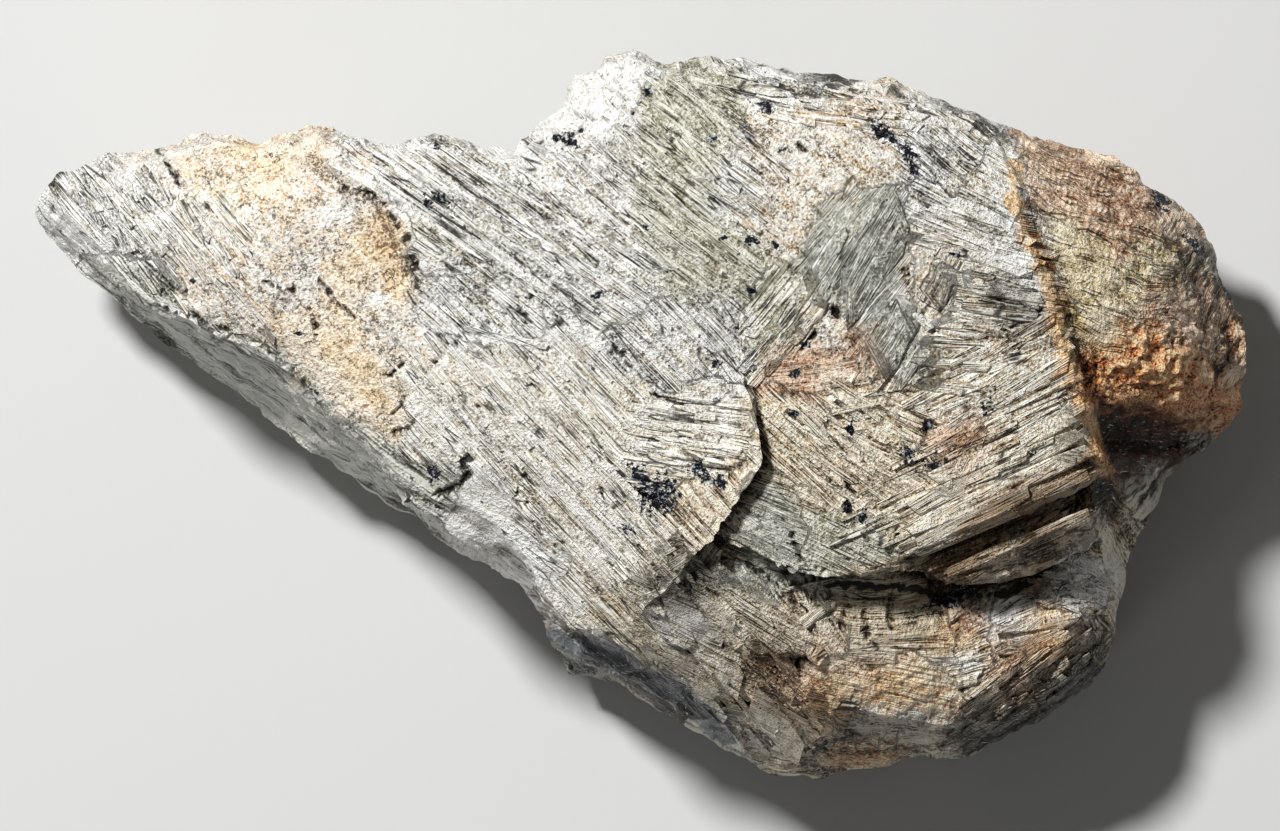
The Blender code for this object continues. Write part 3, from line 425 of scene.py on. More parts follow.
# Marks on the face: (x, y, half-length, half-width, turn in degrees)
DARK_GRAINS = (
    (-26.5, 28, 1.8, 0.8, -20), (-28, 27.5, 0.8, 0.7, 0), (0, 24, 0.8, 0.5, 50),
    (-6, 15.5, 1.1, 0.5, 40), (-27, 35, 0.8, 0.5, 0), (-27.5, -8, 0.9, 1.2, 20),
    (16, 40, 1.1, 0.9, 0), (10.4, 23.2, 0.6, 0.5, 0), (13.9, 22.7, 1.2, 0.6, 30),
    (14, 16, 0.8, 0.7, 0), (3, 18.5, 0.7, 0.4, 0), (46, 2.5, 1.1, 0.7, 0),
    (37, -1.5, 1.1, 0.8, 0), (27, -2, 0.5, 1.2, 0), (19.5, 0, 0.9, 0.4, 0),
    (9.5, 1.5, 0.5, 0.5, 0), (51, -5.5, 0.8, 1.2, 0), (35.2, -5.8, 2.1, 0.9, -40),
    (38.2, -6.8, 1.0, 0.8, 30), (2, -10.5, 2.7, 2.8, 0), (-0.5, -8, 2.2, 0.9, -45),
    (7.4, -7.4, 2.2, 0.9, -58), (10, -9, 0.9, 1.0, 0), (-2, -15, 0.9, 0.7, 0),
    (17.3, 21.8, 1.0, 0.5, -40), (21, 9, 0.8, 0.6, 0), (19.7, 5.3, 0.9, 0.6, 20),
    (9, 36, 0.8, 0.6, 30), (40, 20.6, 1.6, 0.7, -10), (9.5, 6.5, 0.8, 0.5, 0),
    (11.8, 11, 1.0, 0.5, 20), (-9, -33.4, 2.4, 1.0, -30), (0.6, 42.2, 0.8, 0.5, 0),
    (-9.3, 35.6, 1.0, 0.8, -30),
    (31.5, 36.5, 2.4, 1.0, -35), (34.6, 34, 1.8, 1.0, -50), (35.3, 31.8, 0.8, 1.2, 0),
    (18, 34.5, 0.8, 0.5, 0),
    (-59, 17.5, 0.7, 0.5, 0), (-45, 10.5, 0.7, 0.5, 0), (68, 28, 1.8, 1.3, -40),
    (72.5, 22, 2.4, 0.7, -50), (45, 0, 0.8, 0.5, 0), (28.5, -13.5, 0.7, 1.1, 0),
    (26.5, -12, 0.5, 1.3, 0), (-11, 36, 1.1, 0.8, 40), (40, -24.5, 2.9, 1.3, 20),
    (42, -23, 1.8, 1.1, 0),
)
WHITE_PATCHES = (
    (-5.5, 41, 3.9, 3.9, 0), (-2, 44, 1.8, 1.8, 0), (-5.5, 37.5, 2.4, 1.6, 30),
    (26.7, 38.5, 1.2, 1.1, 0), (30, -39, 1.3, 0.8, 0), (35, -39.6, 2.0, 0.6, 0),
    (38.5, 22.4, 2.2, 0.9, -20), (42, -32.5, 2.6, 1.2, 10), (33.6, 15, 2.4, 0.5, -50),
    (-21.5, 10, 7.9, 0.9, -6), (-31.5, 26.5, 2.1, 1.2, -30),
    (-11, 34.5, 2.1, 1.3, 30), (-34.5, 15, 1.6, 1.1, 0), (-41, 26, 2.6, 1.3, 0),
    (58, -21, 3.9, 1.6, 10), (-13.5, 10.5, 3.9, 1.1, -10), (-8, 10.3, 2.6, 1.2, -37),
    # This one is a painted highlight, where a smooth cleavage face on the lower left flank catches the
    # light
    (-24, -15, 4.2, 1.3, -37),
)
OCHRE_STAINS = (
    (-59.5, 32, 2.6, 2.1, -40), (-49, 32.5, 2.9, 1.2, 0), (-53.5, 34.5, 3.9, 1.1, 0),
    (-56, 29.5, 1.8, 1.1, -40), (-34.5, 23.5, 3.4, 4.5, 0), (-32, 17.5, 2.4, 3.4, 0),
    (-37, 6, 3.2, 2.6, 0), (-40, 8.5, 2.9, 2.1, 0), (-35, 2, 2.6, 1.6, -40),
    (-45, 4.5, 1.8, 1.3, 0), (33.5, -36, 6.6, 3.4, 0),
    (24.5, -37.5, 3.9, 3.9, 0), (28.5, -45, 5.3, 1.8, 0), (40, -29.5, 3.9, 2.6, 0),
    (52, -31, 5.3, 2.4, 20), (58, 8.5, 0.8, 9.2, 18), (60, -4.5, 1.3, 3.9, 15),
    (62, -11.5, 1.6, 2.6, 0), (49.5, -37.5, 3.9, 1.8, 25), (13.5, -37.5, 1.8, 1.8, 0),
)
# Bands of another colour, with crisp borders: half-width, light, middle, dark and patch
# colour, and the way they run
SEAMS = (
    (0.9, ((246, 218, 172), (202, 154, 98), (92, 54, 22), (210, 136, 70)),
     (48, 32), (48.4, 28), (49.8, 24), (52, 20), (53.8, 15), (54.5, 10), (55.9, 5),
     (57.6, 1), (59, -3), (60.8, -7.5)),
    (1.5, ((128, 136, 142), (48, 56, 64), (3, 5, 8), (30, 42, 58)),
     (-11.5, -29.6), (-5, -31.4), (0, -34.4), (4.5, -36.8), (8, -40.2), (10.5, -43)),
)
# Hollows deeper than the plain form: (x, y, half-length, half-width, turn, depth)
HOLLOWS = ((66, -2.6, 10.0, 3.8, -8, 6.0),)
# Cracks: half-width, then the way they run
# The wide cracks under the ledges and in the recesses are painted near black, which is painted shade as
# well as crack
CRACKS = (
    (0.12, (-34, 5), (-32.8, 5.4), (-31.2, 6.4)), (0.05, (-32.5, 0), (-31.2, 1.2), (-31.6, 2.2)),
    (0.06, (-32.5, -2.8), (-30.2, -1.6)), (0.22, (-25, 0), (-22.8, 0.4), (-21.3, 0.9)),
    (0.1, (-24.5, -1), (-23.2, -2.4), (-23, -4.8)), (0.25, (-24.5, -6), (-22.6, -5.8), (-21, -5.2)),
    (0.3, (-27, -10.6), (-24.6, -9.6), (-23.2, -8.4), (-23.6, -6)), (0.04, (-16.5, -8), (-14.2, -8.6)),
    (0.13, (-15.2, -6.6), (-15.3, -8.3), (-17, -9.2)), (0.1, (-16.5, -10.5), (-15.7, -9.6)),
    (0.12, (-17.2, -12.6), (-16.6, -12), (-15.6, -11.6)), (0.06, (-12, -17.5), (-10.8, -16.9)),
    (0.08, (-5.8, -8.3), (-5.7, -10.5), (-5.3, -12)), (0.04, (-6.8, -13.3), (-6, -14.4)),
    (0.22, (-6, -4), (-3.5, -7), (-2, -9.3), (0.4, -10.6)), (0.1, (-7.5, -1.8), (-6, -4)),
    (0.07, (-28.6, 6.6), (-27.6, 6.2), (-26.2, 8.2), (-23.7, 10.1)), (0.04, (-20.6, 11.5), (-18.6, 12.7)),
    (0.08, (-15.9, 13.4), (-15.2, 11.9)), (0.04, (-15.4, 15), (-14.4, 15), (-13.4, 16.3)),
    (0.05, (-4, 9), (-3.3, 8)), (0.05, (-2.6, 7.4), (-1.7, 8.2)), (0.05, (-1.3, 1.5), (-0.9, 0.6)),
    (0.08, (19.6, -15.4), (20, -17), (20.5, -17.4), (20.5, -19.4)), (0.12, (14.6, 6), (14.9, 2.5)),
    (0.25, (26.5, -8.6), (27.3, -10.4), (27, -12.6)), (0.08, (33, -15.5), (32.6, -17.2)),
    (0.12, (26.6, -2.8), (26.8, -1.6), (27.6, -0.9)), (0.12, (36.3, -2.2), (38, -0.9)),
    (0.2, (20.6, 8.8), (22.2, 10.8)), (0.22, (24.6, 14.6), (24.7, 13.6), (25.5, 12.8)),
    (0.1, (34.2, 18.8), (34.9, 17.2)), (0.07, (44.5, 8.4), (46.4, 10.4), (49.5, 12.2), (52.3, 14.2)),
    (0.1, (34.6, 4.6), (35.4, 6.6), (36.6, 8.6)), (0.06, (7.4, 22.8), (9.5, 21.3)),
    (0.07, (7.4, -30), (10, -29.9), (12.6, -28.6)), (0.08, (4.5, -32), (2.5, -31.7)),
    (0.3, (14.6, -32.4), (18, -32.1), (23, -32)), (0.1, (20.3, -32.5), (20.6, -34.6)),
    (0.4, (10.5, -38.4), (15, -37.8), (18, -36.3), (19.6, -35.8)),
    (0.07, (11, -40), (14.5, -39.8), (15.8, -39.1)), (0.14, (22, -44.2), (25, -43), (28, -42)),
    (0.1, (20.4, -46), (21.6, -44.8)), (0.05, (1.2, 2.4), (5, 1.2)), (0.05, (1, -3.6), (6, -3)),
    (0.06, (-10.7, 34.7), (-9.5, 36.2), (-7.9, 37.1)), (0.09, (-39.2, 29.3), (-35.5, 29), (-32.9, 26.1)),
    (0.25, (-32.9, 26.1), (-31, 22.6), (-29.9, 19.4)), (0.06, (-55.8, 25.1), (-54.7, 22.5)),
    (0.06, (-59.1, 20.9), (-58.9, 18.1)), (0.05, (-60.2, 16), (-59.7, 14.2)),
    (0.05, (-57.3, 26.9), (-53.4, 21.5), (-51.4, 20.4)), (0.05, (-42.3, 17.3), (-38.1, 12.6)),
    (0.14, (-63.6, 13.9), (-58, 12.2), (-54, 10.6), (-49, 8.2), (-45, 5), (-42.3, 2.4)),
    (0.05, (-44, 14), (-42.6, 12), (-42.8, 10)), (0.04, (-50, 17.5), (-47, 16), (-45.6, 16.4)),
    (0.2, (10, -22.5), (13, -25.7), (16.3, -29.6), (18, -32)), (0.15, (15, -20.5), (21.5, -26)),
    (0.15, (2, -24), (8.5, -32)), (0.12, (6, -22.5), (12.5, -31)), (0.25, (13, -33), (21, -42)),
    (0.1, (-64.2, 35.6), (-62.8, 33), (-60.6, 30)), (0.05, (-13, 27.5), (-10, 26)),
    (0.4, (21, -21.8), (28, -22.4), (34, -22.8), (40, -24), (48, -23.6), (52, -20.8)),
    (0.12, (9.5, -18.6), (15, -20), (20, -20.9), (24, -20.7)), (0.1, (-1.4, 39.4), (0.4, 41.8)),
    (0.25, (12.6, 43.7), (15.2, 43.2), (18.4, 42.2)), (0.08, (18.4, 42.2), (20.6, 41.5)),
    (0.06, (20, 35.2), (21, 34.5)), (0.05, (26, -25.4), (26.3, -29)), (0.05, (29, -26), (29.4, -29.6)),
    (0.05, (32, -25.8), (32.5, -29)), (0.15, (20, -45), (24, -43.6), (28, -42.2)),
    (0.2, (44, -40.4), (49, -36.8), (54, -33)), (0.2, (48, -40.6), (54, -36.6), (59, -32.6)),
)

# Spacing of the points that carry the surface: in fibrous stone, in grainy stone, along
# edges and on the underside, and the longest side of a triangle on a steep flank
FINE_ACROSS = 0.27
FINE_ALONG = 0.54
GRAIN_SPACING = 0.36
LINE_SPACING = 0.5
BACK_SPACING = 1.3
LONGEST_SIDE = 1.5
# Stone with knobs higher than this is laid out as grainy stone
GRAINY_KNOBS = 0.35
# How far from its own place a texture may still be the nearest one
NEAR_SITE = 22.0
# The face between its edges is evened out this many times
EASING_PASSES = 110
# The rim wanders up and down by this much, and stays above the lowest height
RIM_WANDER, LOWEST_RIM = 6.0, 6.5
# The flank under the rim: spacing of its points, how far in and how far down they lie
FLANK_SPACING, FLANK_IN, FLANK_DOWN = 7.0, 2.5, 8.0
# Heights below this are on the flat
FLAT = 0.05
# The rock lies within these distances of its middle, and a search grid within this one
REACH_X, REACH_Y, GRID = 82, 52, 110
# Odd numbers that turn whole numbers into chance ones
MIX_A, MIX_B = np.uint64(0x9E3779B97F4A7C15), np.uint64(0xBF58476D1CE4E5B9)


def chance(seed, *numbers):
    """Numbers from -1 to 1, always the same for the same whole numbers."""
    mix = np.full(np.broadcast(*numbers).shape, 7919 * seed + 1, np.uint64)
    for number in numbers:
        whole = np.asarray(np.floor(number)).astype(np.int64).astype(np.uint64)
        mix = (mix ^ whole) * MIX_A
        mix = (mix ^ (mix >> np.uint64(31))) * MIX_B
        mix ^= mix >> np.uint64(29)
    return (mix >> np.uint64(11)).astype(float) / 2.0**52 - 1.0


def lumps(seed, x, y, z=0.0):
    """Smooth unevenness from about -1 to 1, with lumps about one unit across."""
    x, y, z = np.broadcast_arrays(x, y, np.asarray(z, float))
    low = [np.floor(v) for v in (x, y, z)]
    part = [v - f for v, f in zip((x, y, z), low)]
    part = [p * p * (3.0 - 2.0 * p) for p in part]
    total = np.zeros(x.shape)
    for i in (0, 1):
        for j in (0, 1):
            for k in (0, 1):
                share = 1.0
                for p, corner in zip(part, (i, j, k)):
                    share = share * (p if corner else 1.0 - p)
                total += share * chance(seed, low[0] + i, low[1] + j, low[2] + k)
    return total


def lumps_in(seed, places, size):
    """The same unevenness through the solid stone, with lumps of the size given."""
    return lumps(seed, *(places.T / size))


def step_up(value, low, high):
    """0 below low, 1 above high and smooth between."""
    part = np.clip((value - low) / (high - low), 0.0, 1.0)
    return part * part * (3.0 - 2.0 * part)


def near_zero(value, width):
    """1 at nought, fading on both sides over the width."""
    return np.exp(-((value / width) ** 2))


def along_line(points, spacing):
    """Places along a line of straight runs, evenly spaced on each run."""
    dense = []
    for start, end in zip(points, points[1:]):
        count = max(1, round(math.dist(start[:2], end[:2]) / spacing))
        for step in range(count):
            part = step / count
            dense.append(tuple(a + (b - a) * part for a, b in zip(start, end)))
    dense.append(tuple(points[-1]))
    return dense


def joined(rim, lines, points):
    """Triangles over the plan: places and heights, triangles, and how many are fixed."""
    number, places, heights, links = {}, [], [], []

    def add(p):
        key = (round(p[0], 3), round(p[1], 3))
        if key not in number:
            number[key] = len(places)
            places.append(Vector(key))
            heights.append(p[2])
        return number[key]

    loop = [add(p) for p in rim]
    for line in lines:
        ids = [add(p) for p in line]
        links += [pair for pair in zip(ids, ids[1:]) if pair[0] != pair[1]]
    fixed = len(places)
    for p in points:
        add(p)
    made = geometry.delaunay_2d_cdt(places, links, [loop], 1, 1e-5)
    spots = np.array([(v.x, v.y) for v in made[0]])
    tall = np.array([heights[o[0]] if o else np.nan for o in made[3]])
    for i in np.flatnonzero(np.isnan(tall)):
        near = np.argsort(np.hypot(*(spots - spots[i]).T))[1:4]
        tall[i] = np.nanmean(tall[near])
    return spots, tall, np.array(made[2]), fixed


def height_at(surface, x, y):
    """Height of a coarse surface at each place, or nan outside its rim."""
    spots, tall, triangles, _ = surface
    height = np.full(x.shape, np.nan)
    for a, b, c in triangles:
        corners = spots[[a, b, c]]
        low, high = corners.min(0) - 1e-6, corners.max(0) + 1e-6
        inside = np.flatnonzero((x >= low[0]) & (x <= high[0]) & (y >= low[1]) & (y <= high[1]))
        if not len(inside):
            continue
        side_b, side_c = corners[1] - corners[0], corners[2] - corners[0]
        area = side_b[0] * side_c[1] - side_c[0] * side_b[1]
        if abs(area) < 1e-9:
            continue
        dx, dy = x[inside] - corners[0, 0], y[inside] - corners[0, 1]
        to_b = (dx * side_c[1] - side_c[0] * dy) / area
        to_c = (side_b[0] * dy - dx * side_b[1]) / area
        good = (to_b > -1e-6) & (to_c > -1e-6) & (to_b + to_c < 1 + 1e-6)
        level = tall[a] + to_b * (tall[b] - tall[a]) + to_c * (tall[c] - tall[a])
        height[inside[good]] = level[good]
    return height


SITES = np.array([site for sites in TEXTURE.values() for site in sites], float)
SITE_STONES = [stone for stone, sites in TEXTURE.items() for _ in sites]
FIBROUS, FINENESS, RISE = np.array([STONES[stone][4:] for stone in SITE_STONES], float).T


def nearest_sites(x, y):
    """The two textures nearest to each place, with ragged borders, and the first one's share."""
    x = x + 2.4 * lumps(1, x / 5.0, y / 5.0) + 0.9 * lumps(2, x / 1.5, y / 1.5)
    y = y + 2.4 * lumps(3, x / 5.0, y / 5.0) + 0.9 * lumps(4, x / 1.5, y / 1.5)
    first, second = np.zeros(x.shape, int), np.zeros(x.shape, int)
    near, next_near = np.full(x.shape, np.inf), np.full(x.shape, np.inf)
    for i, site in enumerate(SITES):
        away = np.hypot(x - site[0], y - site[1])
        nearest, between = away < near, (away >= near) & (away < next_near)
        second = np.where(nearest, first, np.where(between, i, second))
        next_near = np.where(nearest, near, np.where(between, away, next_near))
        first, near = np.where(nearest, i, first), np.where(nearest, away, near)
    return first, second, 0.5 + 0.5 * step_up(next_near - near, 0.0, 1.6)


def clear_of(lines, x, y, cell):
    """True where no point of the lines is in the same or a neighbouring cell."""
    taken = np.zeros((int(2 * GRID / cell), int(2 * GRID / cell)), bool)
    for line in lines:
        for px, py, _ in line:
            i, j = int((px + GRID) / cell), int((py + GRID) / cell)
            taken[i - 1 : i + 2, j - 1 : j + 2] = True
    i, j = ((x + GRID) / cell).astype(int), ((y + GRID) / cell).astype(int)
    return ~taken[i, j]


def face_points(surface, lines):
    """Places over the face in rows along the fibres, with their heights."""
    chosen = []
    grainy = SITES[:, 6] > GRAINY_KNOBS
    for angle, is_grain in sorted({(s[2], g) for s, g in zip(SITES, grainy)}):
        members = (SITES[:, 2] == angle) & (grainy == is_grain)
        across, along = (GRAIN_SPACING,) * 2 if is_grain else (FINE_ACROSS, FINE_ALONG)
        turn = math.radians(angle)
        cos, sin = math.cos(turn), math.sin(turn)
        u = SITES[members, 0] * cos + SITES[members, 1] * sin
        v = SITES[members, 1] * cos - SITES[members, 0] * sin
        columns = np.arange(math.floor((u.min() - NEAR_SITE) / along),
                            math.ceil((u.max() + NEAR_SITE) / along)) * along
        rows = np.arange(math.floor((v.min() - NEAR_SITE) / across),
                         math.ceil((v.max() + NEAR_SITE) / across)) * across
        u, v = (g.ravel() for g in np.meshgrid(columns, rows))
        x, y = u * cos - v * sin, u * sin + v * cos
        keep = (abs(x) < REACH_X) & (abs(y) < REACH_Y)
        x, y = x[keep], y[keep]
        keep = members[nearest_sites(x, y)[0]] & clear_of(lines, x, y, 0.3)
        x, y = x[keep], y[keep]
        z = height_at(surface, x, y)
        keep = ~np.isnan(z)
        chosen.append(np.stack((x[keep], y[keep], z[keep]), 1))
    return np.concatenate(chosen)


def corner_pairs(triangles):
    """Both ends of every side of every triangle, taken both ways round."""
    one = np.concatenate((triangles[:, 0], triangles[:, 1], triangles[:, 2]))
    two = np.concatenate((triangles[:, 1], triangles[:, 2], triangles[:, 0]))
    return np.concatenate((one, two)), np.concatenate((two, one))


def smoothed(values, triangles, passes, fixed=None):
    """Values at the corners, each pass evened out with those around them."""
    one, two = corner_pairs(triangles)
    count = np.bincount(one, minlength=len(values))
    values = np.array(values, float)
    for _ in range(passes):
        if values.ndim == 1:
            even = np.bincount(one, values[two], len(values)) / count
        else:
            sums = [np.bincount(one, values[two, k], len(values)) for k in range(3)]
            even = np.stack(sums, 1) / count[:, None]
        if fixed is not None:
            even[fixed] = values[fixed]
        values = even
    return values


def lofted_rock():
    """Places and triangles of the plain form."""
    rim = along_line(RIM + RIM[:1], LINE_SPACING)[:-1]
    rim = [(x, y, max(LOWEST_RIM, z + RIM_WANDER * lumps(5, x / 9, y / 9).item()))
           for x, y, z in rim]
    rim.reverse()
    coarse = joined(RIM[::-1], EDGES.values(), HEIGHTS)
    lines = [along_line(line, LINE_SPACING) for line in EDGES.values()]
    points = face_points(coarse, lines + [rim])
    spots, tall, triangles, fixed = joined(rim, lines, points)
    pinned = np.arange(len(spots)) < fixed
    tall = smoothed(tall, triangles, EASING_PASSES, pinned)
    upper = np.column_stack((spots, tall))

    dense = along_line(RIM + RIM[:1], FLANK_SPACING)[:-1]
    flank = []
    for before, here, after in zip(dense[-1:] + dense[:-1], dense, dense[1:] + dense[:1]):
        way = np.array((after[1] - before[1], before[0] - after[0]))
        x, y = here[:2] + FLANK_IN * way / np.hypot(*way)
        flank.append((x, y, max(2.5, here[2] - FLANK_DOWN)))
    rest = [(x, y, 0.0) for x, y in REST_FLAT + REST_FLAT[:1]]
    coarse = joined(RIM[::-1], [rest], BELLY + tuple(flank))
    side = np.arange(-REACH_X, REACH_X, BACK_SPACING)
    x, y = (g.ravel() for g in np.meshgrid(side, side))
    z = height_at(coarse, x, y)
    keep = (np.nan_to_num(z) > FLAT) & clear_of([rim], x, y, 0.6)
    spots, tall, lower, _ = joined(rim, [rest], np.stack((x, y, z), 1)[keep])
    under = np.column_stack((spots, tall))[len(rim):]
    renumber = np.concatenate((np.arange(len(rim)), len(upper) + np.arange(len(under))))
    places = np.concatenate((upper, under))
    return places, np.concatenate((triangles, renumber[lower][:, ::-1]))


# Ledges whose wall leans back under the edge: foot, height of the wall, how far and which way
OVERHANGS = (("ledge_foot", 6.0, (0.4, 3.2)), ("n_foot", 4.0, (-1.4, 0.6)),
             ("m_foot", 4.0, (-0.6, 1.6)))


def leaning(places):
    """Ledge walls made steep or hollow, so that a dark gap runs along below the edge."""
    moved = places.copy()
    for name, wall, shift in OVERHANGS:
        foot = np.array(along_line(EDGES[name], 0.8))
        away, level = np.full(len(places), 99.0), np.zeros(len(places))
        for x, y, z in foot:
            here = np.hypot(places[:, 0] - x, places[:, 1] - y)
            level = np.where(here < away, z, level)
            away = np.minimum(here, away)
        below_edge = 1 - step_up(places[:, 2] - level, 0.15 * wall, wall)
        weight = near_zero(away, 4.0) * below_edge
        moved[:, :2] += weight[:, None] * np.array(shift)
    return moved


def with_long_edges_split(places, triangles):
    """Steep flanks get triangles nearly as small as the rest."""
    mesh = bpy.data.meshes.new("draft")
    mesh.from_pydata([tuple(p) for p in places], [], [tuple(t) for t in triangles])
    solid = bmesh.new()
    solid.from_mesh(mesh)
    for _ in range(4):
        long = [e for e in solid.edges if e.calc_length() > LONGEST_SIDE
                and max(v.co.z for v in e.verts) > FLAT]
        bmesh.ops.subdivide_edges(solid, edges=long, cuts=1)
        bmesh.ops.triangulate(solid, faces=[f for f in solid.faces if len(f.verts) > 3])
    places = np.array([v.co[:] for v in solid.verts])
    triangles = np.array([[v.index for v in f.verts] for f in solid.faces])
    solid.free()
    bpy.data.meshes.remove(mesh)
    return places, triangles


def normals_of(places, triangles):
    """The way the surface faces at each place."""
    corners = places[triangles]
    flat = np.cross(corners[:, 1] - corners[:, 0], corners[:, 2] - corners[:, 0])
    total = np.zeros(places.shape)
    for k in range(3):
        for axis in range(3):
            total[:, axis] += np.bincount(triangles[:, k], flat[:, axis], len(places))
    return total / np.maximum(np.linalg.norm(total, axis=1, keepdims=True), 1e-12)


def fibre_frame(places, sites):
    """How far each place is along and across the fibres, in millimetres."""
    turn = np.radians(SITES[sites, 2])
    x, y, z = places.T
    wavy = 1.3 * step_up(SITES[sites, 6], 0.6, 1.0)
    across = y * np.cos(turn) - x * np.sin(turn) + RISE[sites] * z
    across = across + wavy * (lumps_in(9, places, 5) + 0.4 * lumps_in(9, places, 2))
    return x * np.cos(turn) + y * np.sin(turn), across


def blades(seed, u, v, width, length):
    """Blades of one size in a bundle: chance height and shade of the blade at each place,
    and how near the place is to its long edge and to its broken end, in millimetres."""
    strips = v / width + 0.45 * lumps(seed, v / (1.7 * width), u / (14.0 * width))
    strip = np.floor(strips)
    part = strips - strip
    split = 0.5 + 0.32 * chance(seed, strip)
    second = part > split
    edge = np.where(second, np.minimum(part - split, 1.0 - part), np.minimum(part, split - part))
    lean = part - np.where(second, 0.5 + 0.5 * split, 0.5 * split)
    strip = strip * 2 + second
    slant = 0.9 * width / length * chance(seed + 3, strip)
    ends = u / (length * (1.0 + 0.6 * chance(seed + 1, strip))) + 9.0 * chance(seed + 2, strip)
    ends = ends + slant * lean + 0.12 * width / length * lumps(seed + 3, v / width * 3.0, u / 9.0)
    brick = np.floor(ends)
    end = np.minimum(ends - brick, brick + 1.0 - ends) * length
    height = 0.5 * chance(seed + 4, strip) + 0.5 * chance(seed + 5, strip, brick)
    height += 0.7 * lean * chance(seed + 8, strip, brick)
    shade = 0.5 * chance(seed + 6, strip) + 0.5 * chance(seed + 7, strip, brick)
    return np.stack((height, shade, edge * width, end))


def evened(field, u, v):
    """A field of sharp steps, averaged over a small patch around each place."""
    total = 0.0
    for du in (-0.17, 0.17):
        for dv in (-0.12, 0.0, 0.12):
            total = total + field(u + du, v + dv)
    return total / 6.0


def scars(seed, places):
    """Shallow hollows with sharp ridges between them, about one unit across, 0 to 1."""
    low = np.floor(places.T)
    near = np.full(len(places), 9.0)
    for i in (-1, 0, 1):
        for j in (-1, 0, 1):
            for k in (-1, 0, 1):
                cell = (low[0] + i, low[1] + j, low[2] + k)
                away = sum((v - c - 0.5 - 0.5 * chance(seed + n, *cell)) ** 2
                           for n, (v, c) in enumerate(zip(places.T, cell)))
                near = np.minimum(near, away)
    return np.minimum(near, 1.0)


def outside_lines(lines, x, y):
    """Distance to the edge of the nearest line, which zigzags from fibre to fibre."""
    zig = x + 0.5 * lumps(63, x / 0.8, y / 0.8) + 0.2 * lumps(64, x / 0.35, y / 0.35)
    zag = y + 0.5 * lumps(74, x / 0.8, y / 0.8) + 0.2 * lumps(75, x / 0.35, y / 0.35)
    out = np.full(x.shape, 9.0)
    for half_width, *line in lines:
        for (ax, ay), (bx, by) in zip(line, line[1:]):
            dx, dy = bx - ax, by - ay
            part = np.clip(((zig - ax) * dx + (zag - ay) * dy) / (dx * dx + dy * dy), 0, 1)
            away = np.hypot(zig - ax - part * dx, zag - ay - part * dy)
            out = np.minimum(out, away - half_width)
    return out


def depth_in(marks, x, y):
    """How deep each place is inside a mark: 1 at its middle, 0 on its border, then negative."""
    deepest = np.full(x.shape, -1.0)
    for cx, cy, half_length, half_width, angle in marks:
        turn = math.radians(angle)
        along = ((x - cx) * math.cos(turn) + (y - cy) * math.sin(turn)) / half_length
        across = ((y - cy) * math.cos(turn) - (x - cx) * math.sin(turn)) / half_width
        deepest = np.maximum(deepest, 1.0 - np.hypot(along, across))
    return deepest


def bundle(places, sites):
    """How far the blades and knobs of a texture stand out, and the shade of each blade."""
    _, _, _, width, length, steps, knobs = SITES[sites].T
    u, v = fibre_frame(places, sites)
    x, y, _ = places.T
    broken = step_up(lumps(6, x / 7, y / 7) + 0.4 * lumps(7, x / 2.5, y / 2.5), -0.2, 0.6)

    def steps_at(u, v):
        wide = blades(10, u, v, width * 1.7, length * 1.4)
        middle = blades(30, u, v, width * 0.75, length * 0.7)
        thin = blades(50, u, v, width * 0.33, length * 0.5)
        out = steps * ((0.3 + 0.9 * broken) * wide[0] + (0.25 + 0.55 * broken) * middle[0])
        out += (0.03 + 0.14 * steps) * thin[0]
        split = near_zero(wide[2], 0.18) + near_zero(wide[3], 0.2) * broken
        split += (0.3 * near_zero(middle[2], 0.14) + 0.4 * near_zero(middle[3], 0.15)) * broken
        out -= 0.5 * np.minimum(steps * 2.0, 1) * np.minimum(split, 1.2) * (0.3 + 0.7 * broken)
        return np.stack((out, 0.4 * wide[1] + 0.4 * middle[1] + 0.4 * thin[1], split))

    out, shade, split = evened(steps_at, u, v)
    coarse = lumps_in(60, places, 2.6)
    rough = lumps_in(61, places, 1.2)
    fine = lumps_in(62, places, 0.55)
    out += knobs * (0.4 * coarse - 0.3 * abs(rough) + 0.13 * fine)
    strong = step_up(knobs, 0.75, 1.2)
    out += strong * (0.9 * scars(67, places / 3.4) - 0.35 * abs(coarse))
    out += strong * 0.9 * scars(92, places / 1.3)
    return np.stack((out, shade, split))


# How far the face swells, how deep a crack is, and how rough steep walls are
SWELL, CRACK_DEPTH, WALL_ROUGH = 0.4, 0.8, 0.5
# The relief dies away over this height above the flat
FOOT = 4.0


def relief(places, normals, sites, others, share):
    """How far each place stands out from the plain form, the shade and splits of blades."""
    x, y, z = places.T
    steep = step_up(0.72 - normals[:, 2], 0.0, 0.5)
    under = step_up(-normals[:, 2], 0.0, 0.5)
    cracked = 1 - step_up(outside_lines(CRACKS, x, y), -0.1, 0.35)
    out, shade, split = share * bundle(places, sites) + (1.0 - share) * bundle(places, others)
    out += SWELL * lumps(8, x / 14, y / 14)
    out -= CRACK_DEPTH * cracked * step_up(normals[:, 2], 0.4, 0.7)
    out += WALL_ROUGH * steep * (lumps_in(77, places, 1.6) - 2 * abs(lumps_in(78, places, 3)))
    rugged = 1.5 * lumps_in(65, places, 11)
    rugged += 2.2 * scars(68, places / 8) + 0.9 * scars(69, places / 3.2)
    rugged += 0.6 * lumps_in(66, places, 1.4) - 1.6
    out = out * (1.0 - 0.55 * steep) * (1.0 - under) + rugged * np.maximum(0.35 * steep, under)
    return out * step_up(z, 0.0, FOOT), shade, split


def linear(colour):
    """A colour as light, from its values of 0 to 255 as the eye sees them."""
    part = np.asarray(colour, float) / 255.0
    return np.where(part <= 0.04045, part / 12.92, ((part + 0.055) / 1.055) ** 2.4)


# How far a stone's colour reaches into its neighbours'
COLOUR_REACH = 1.9
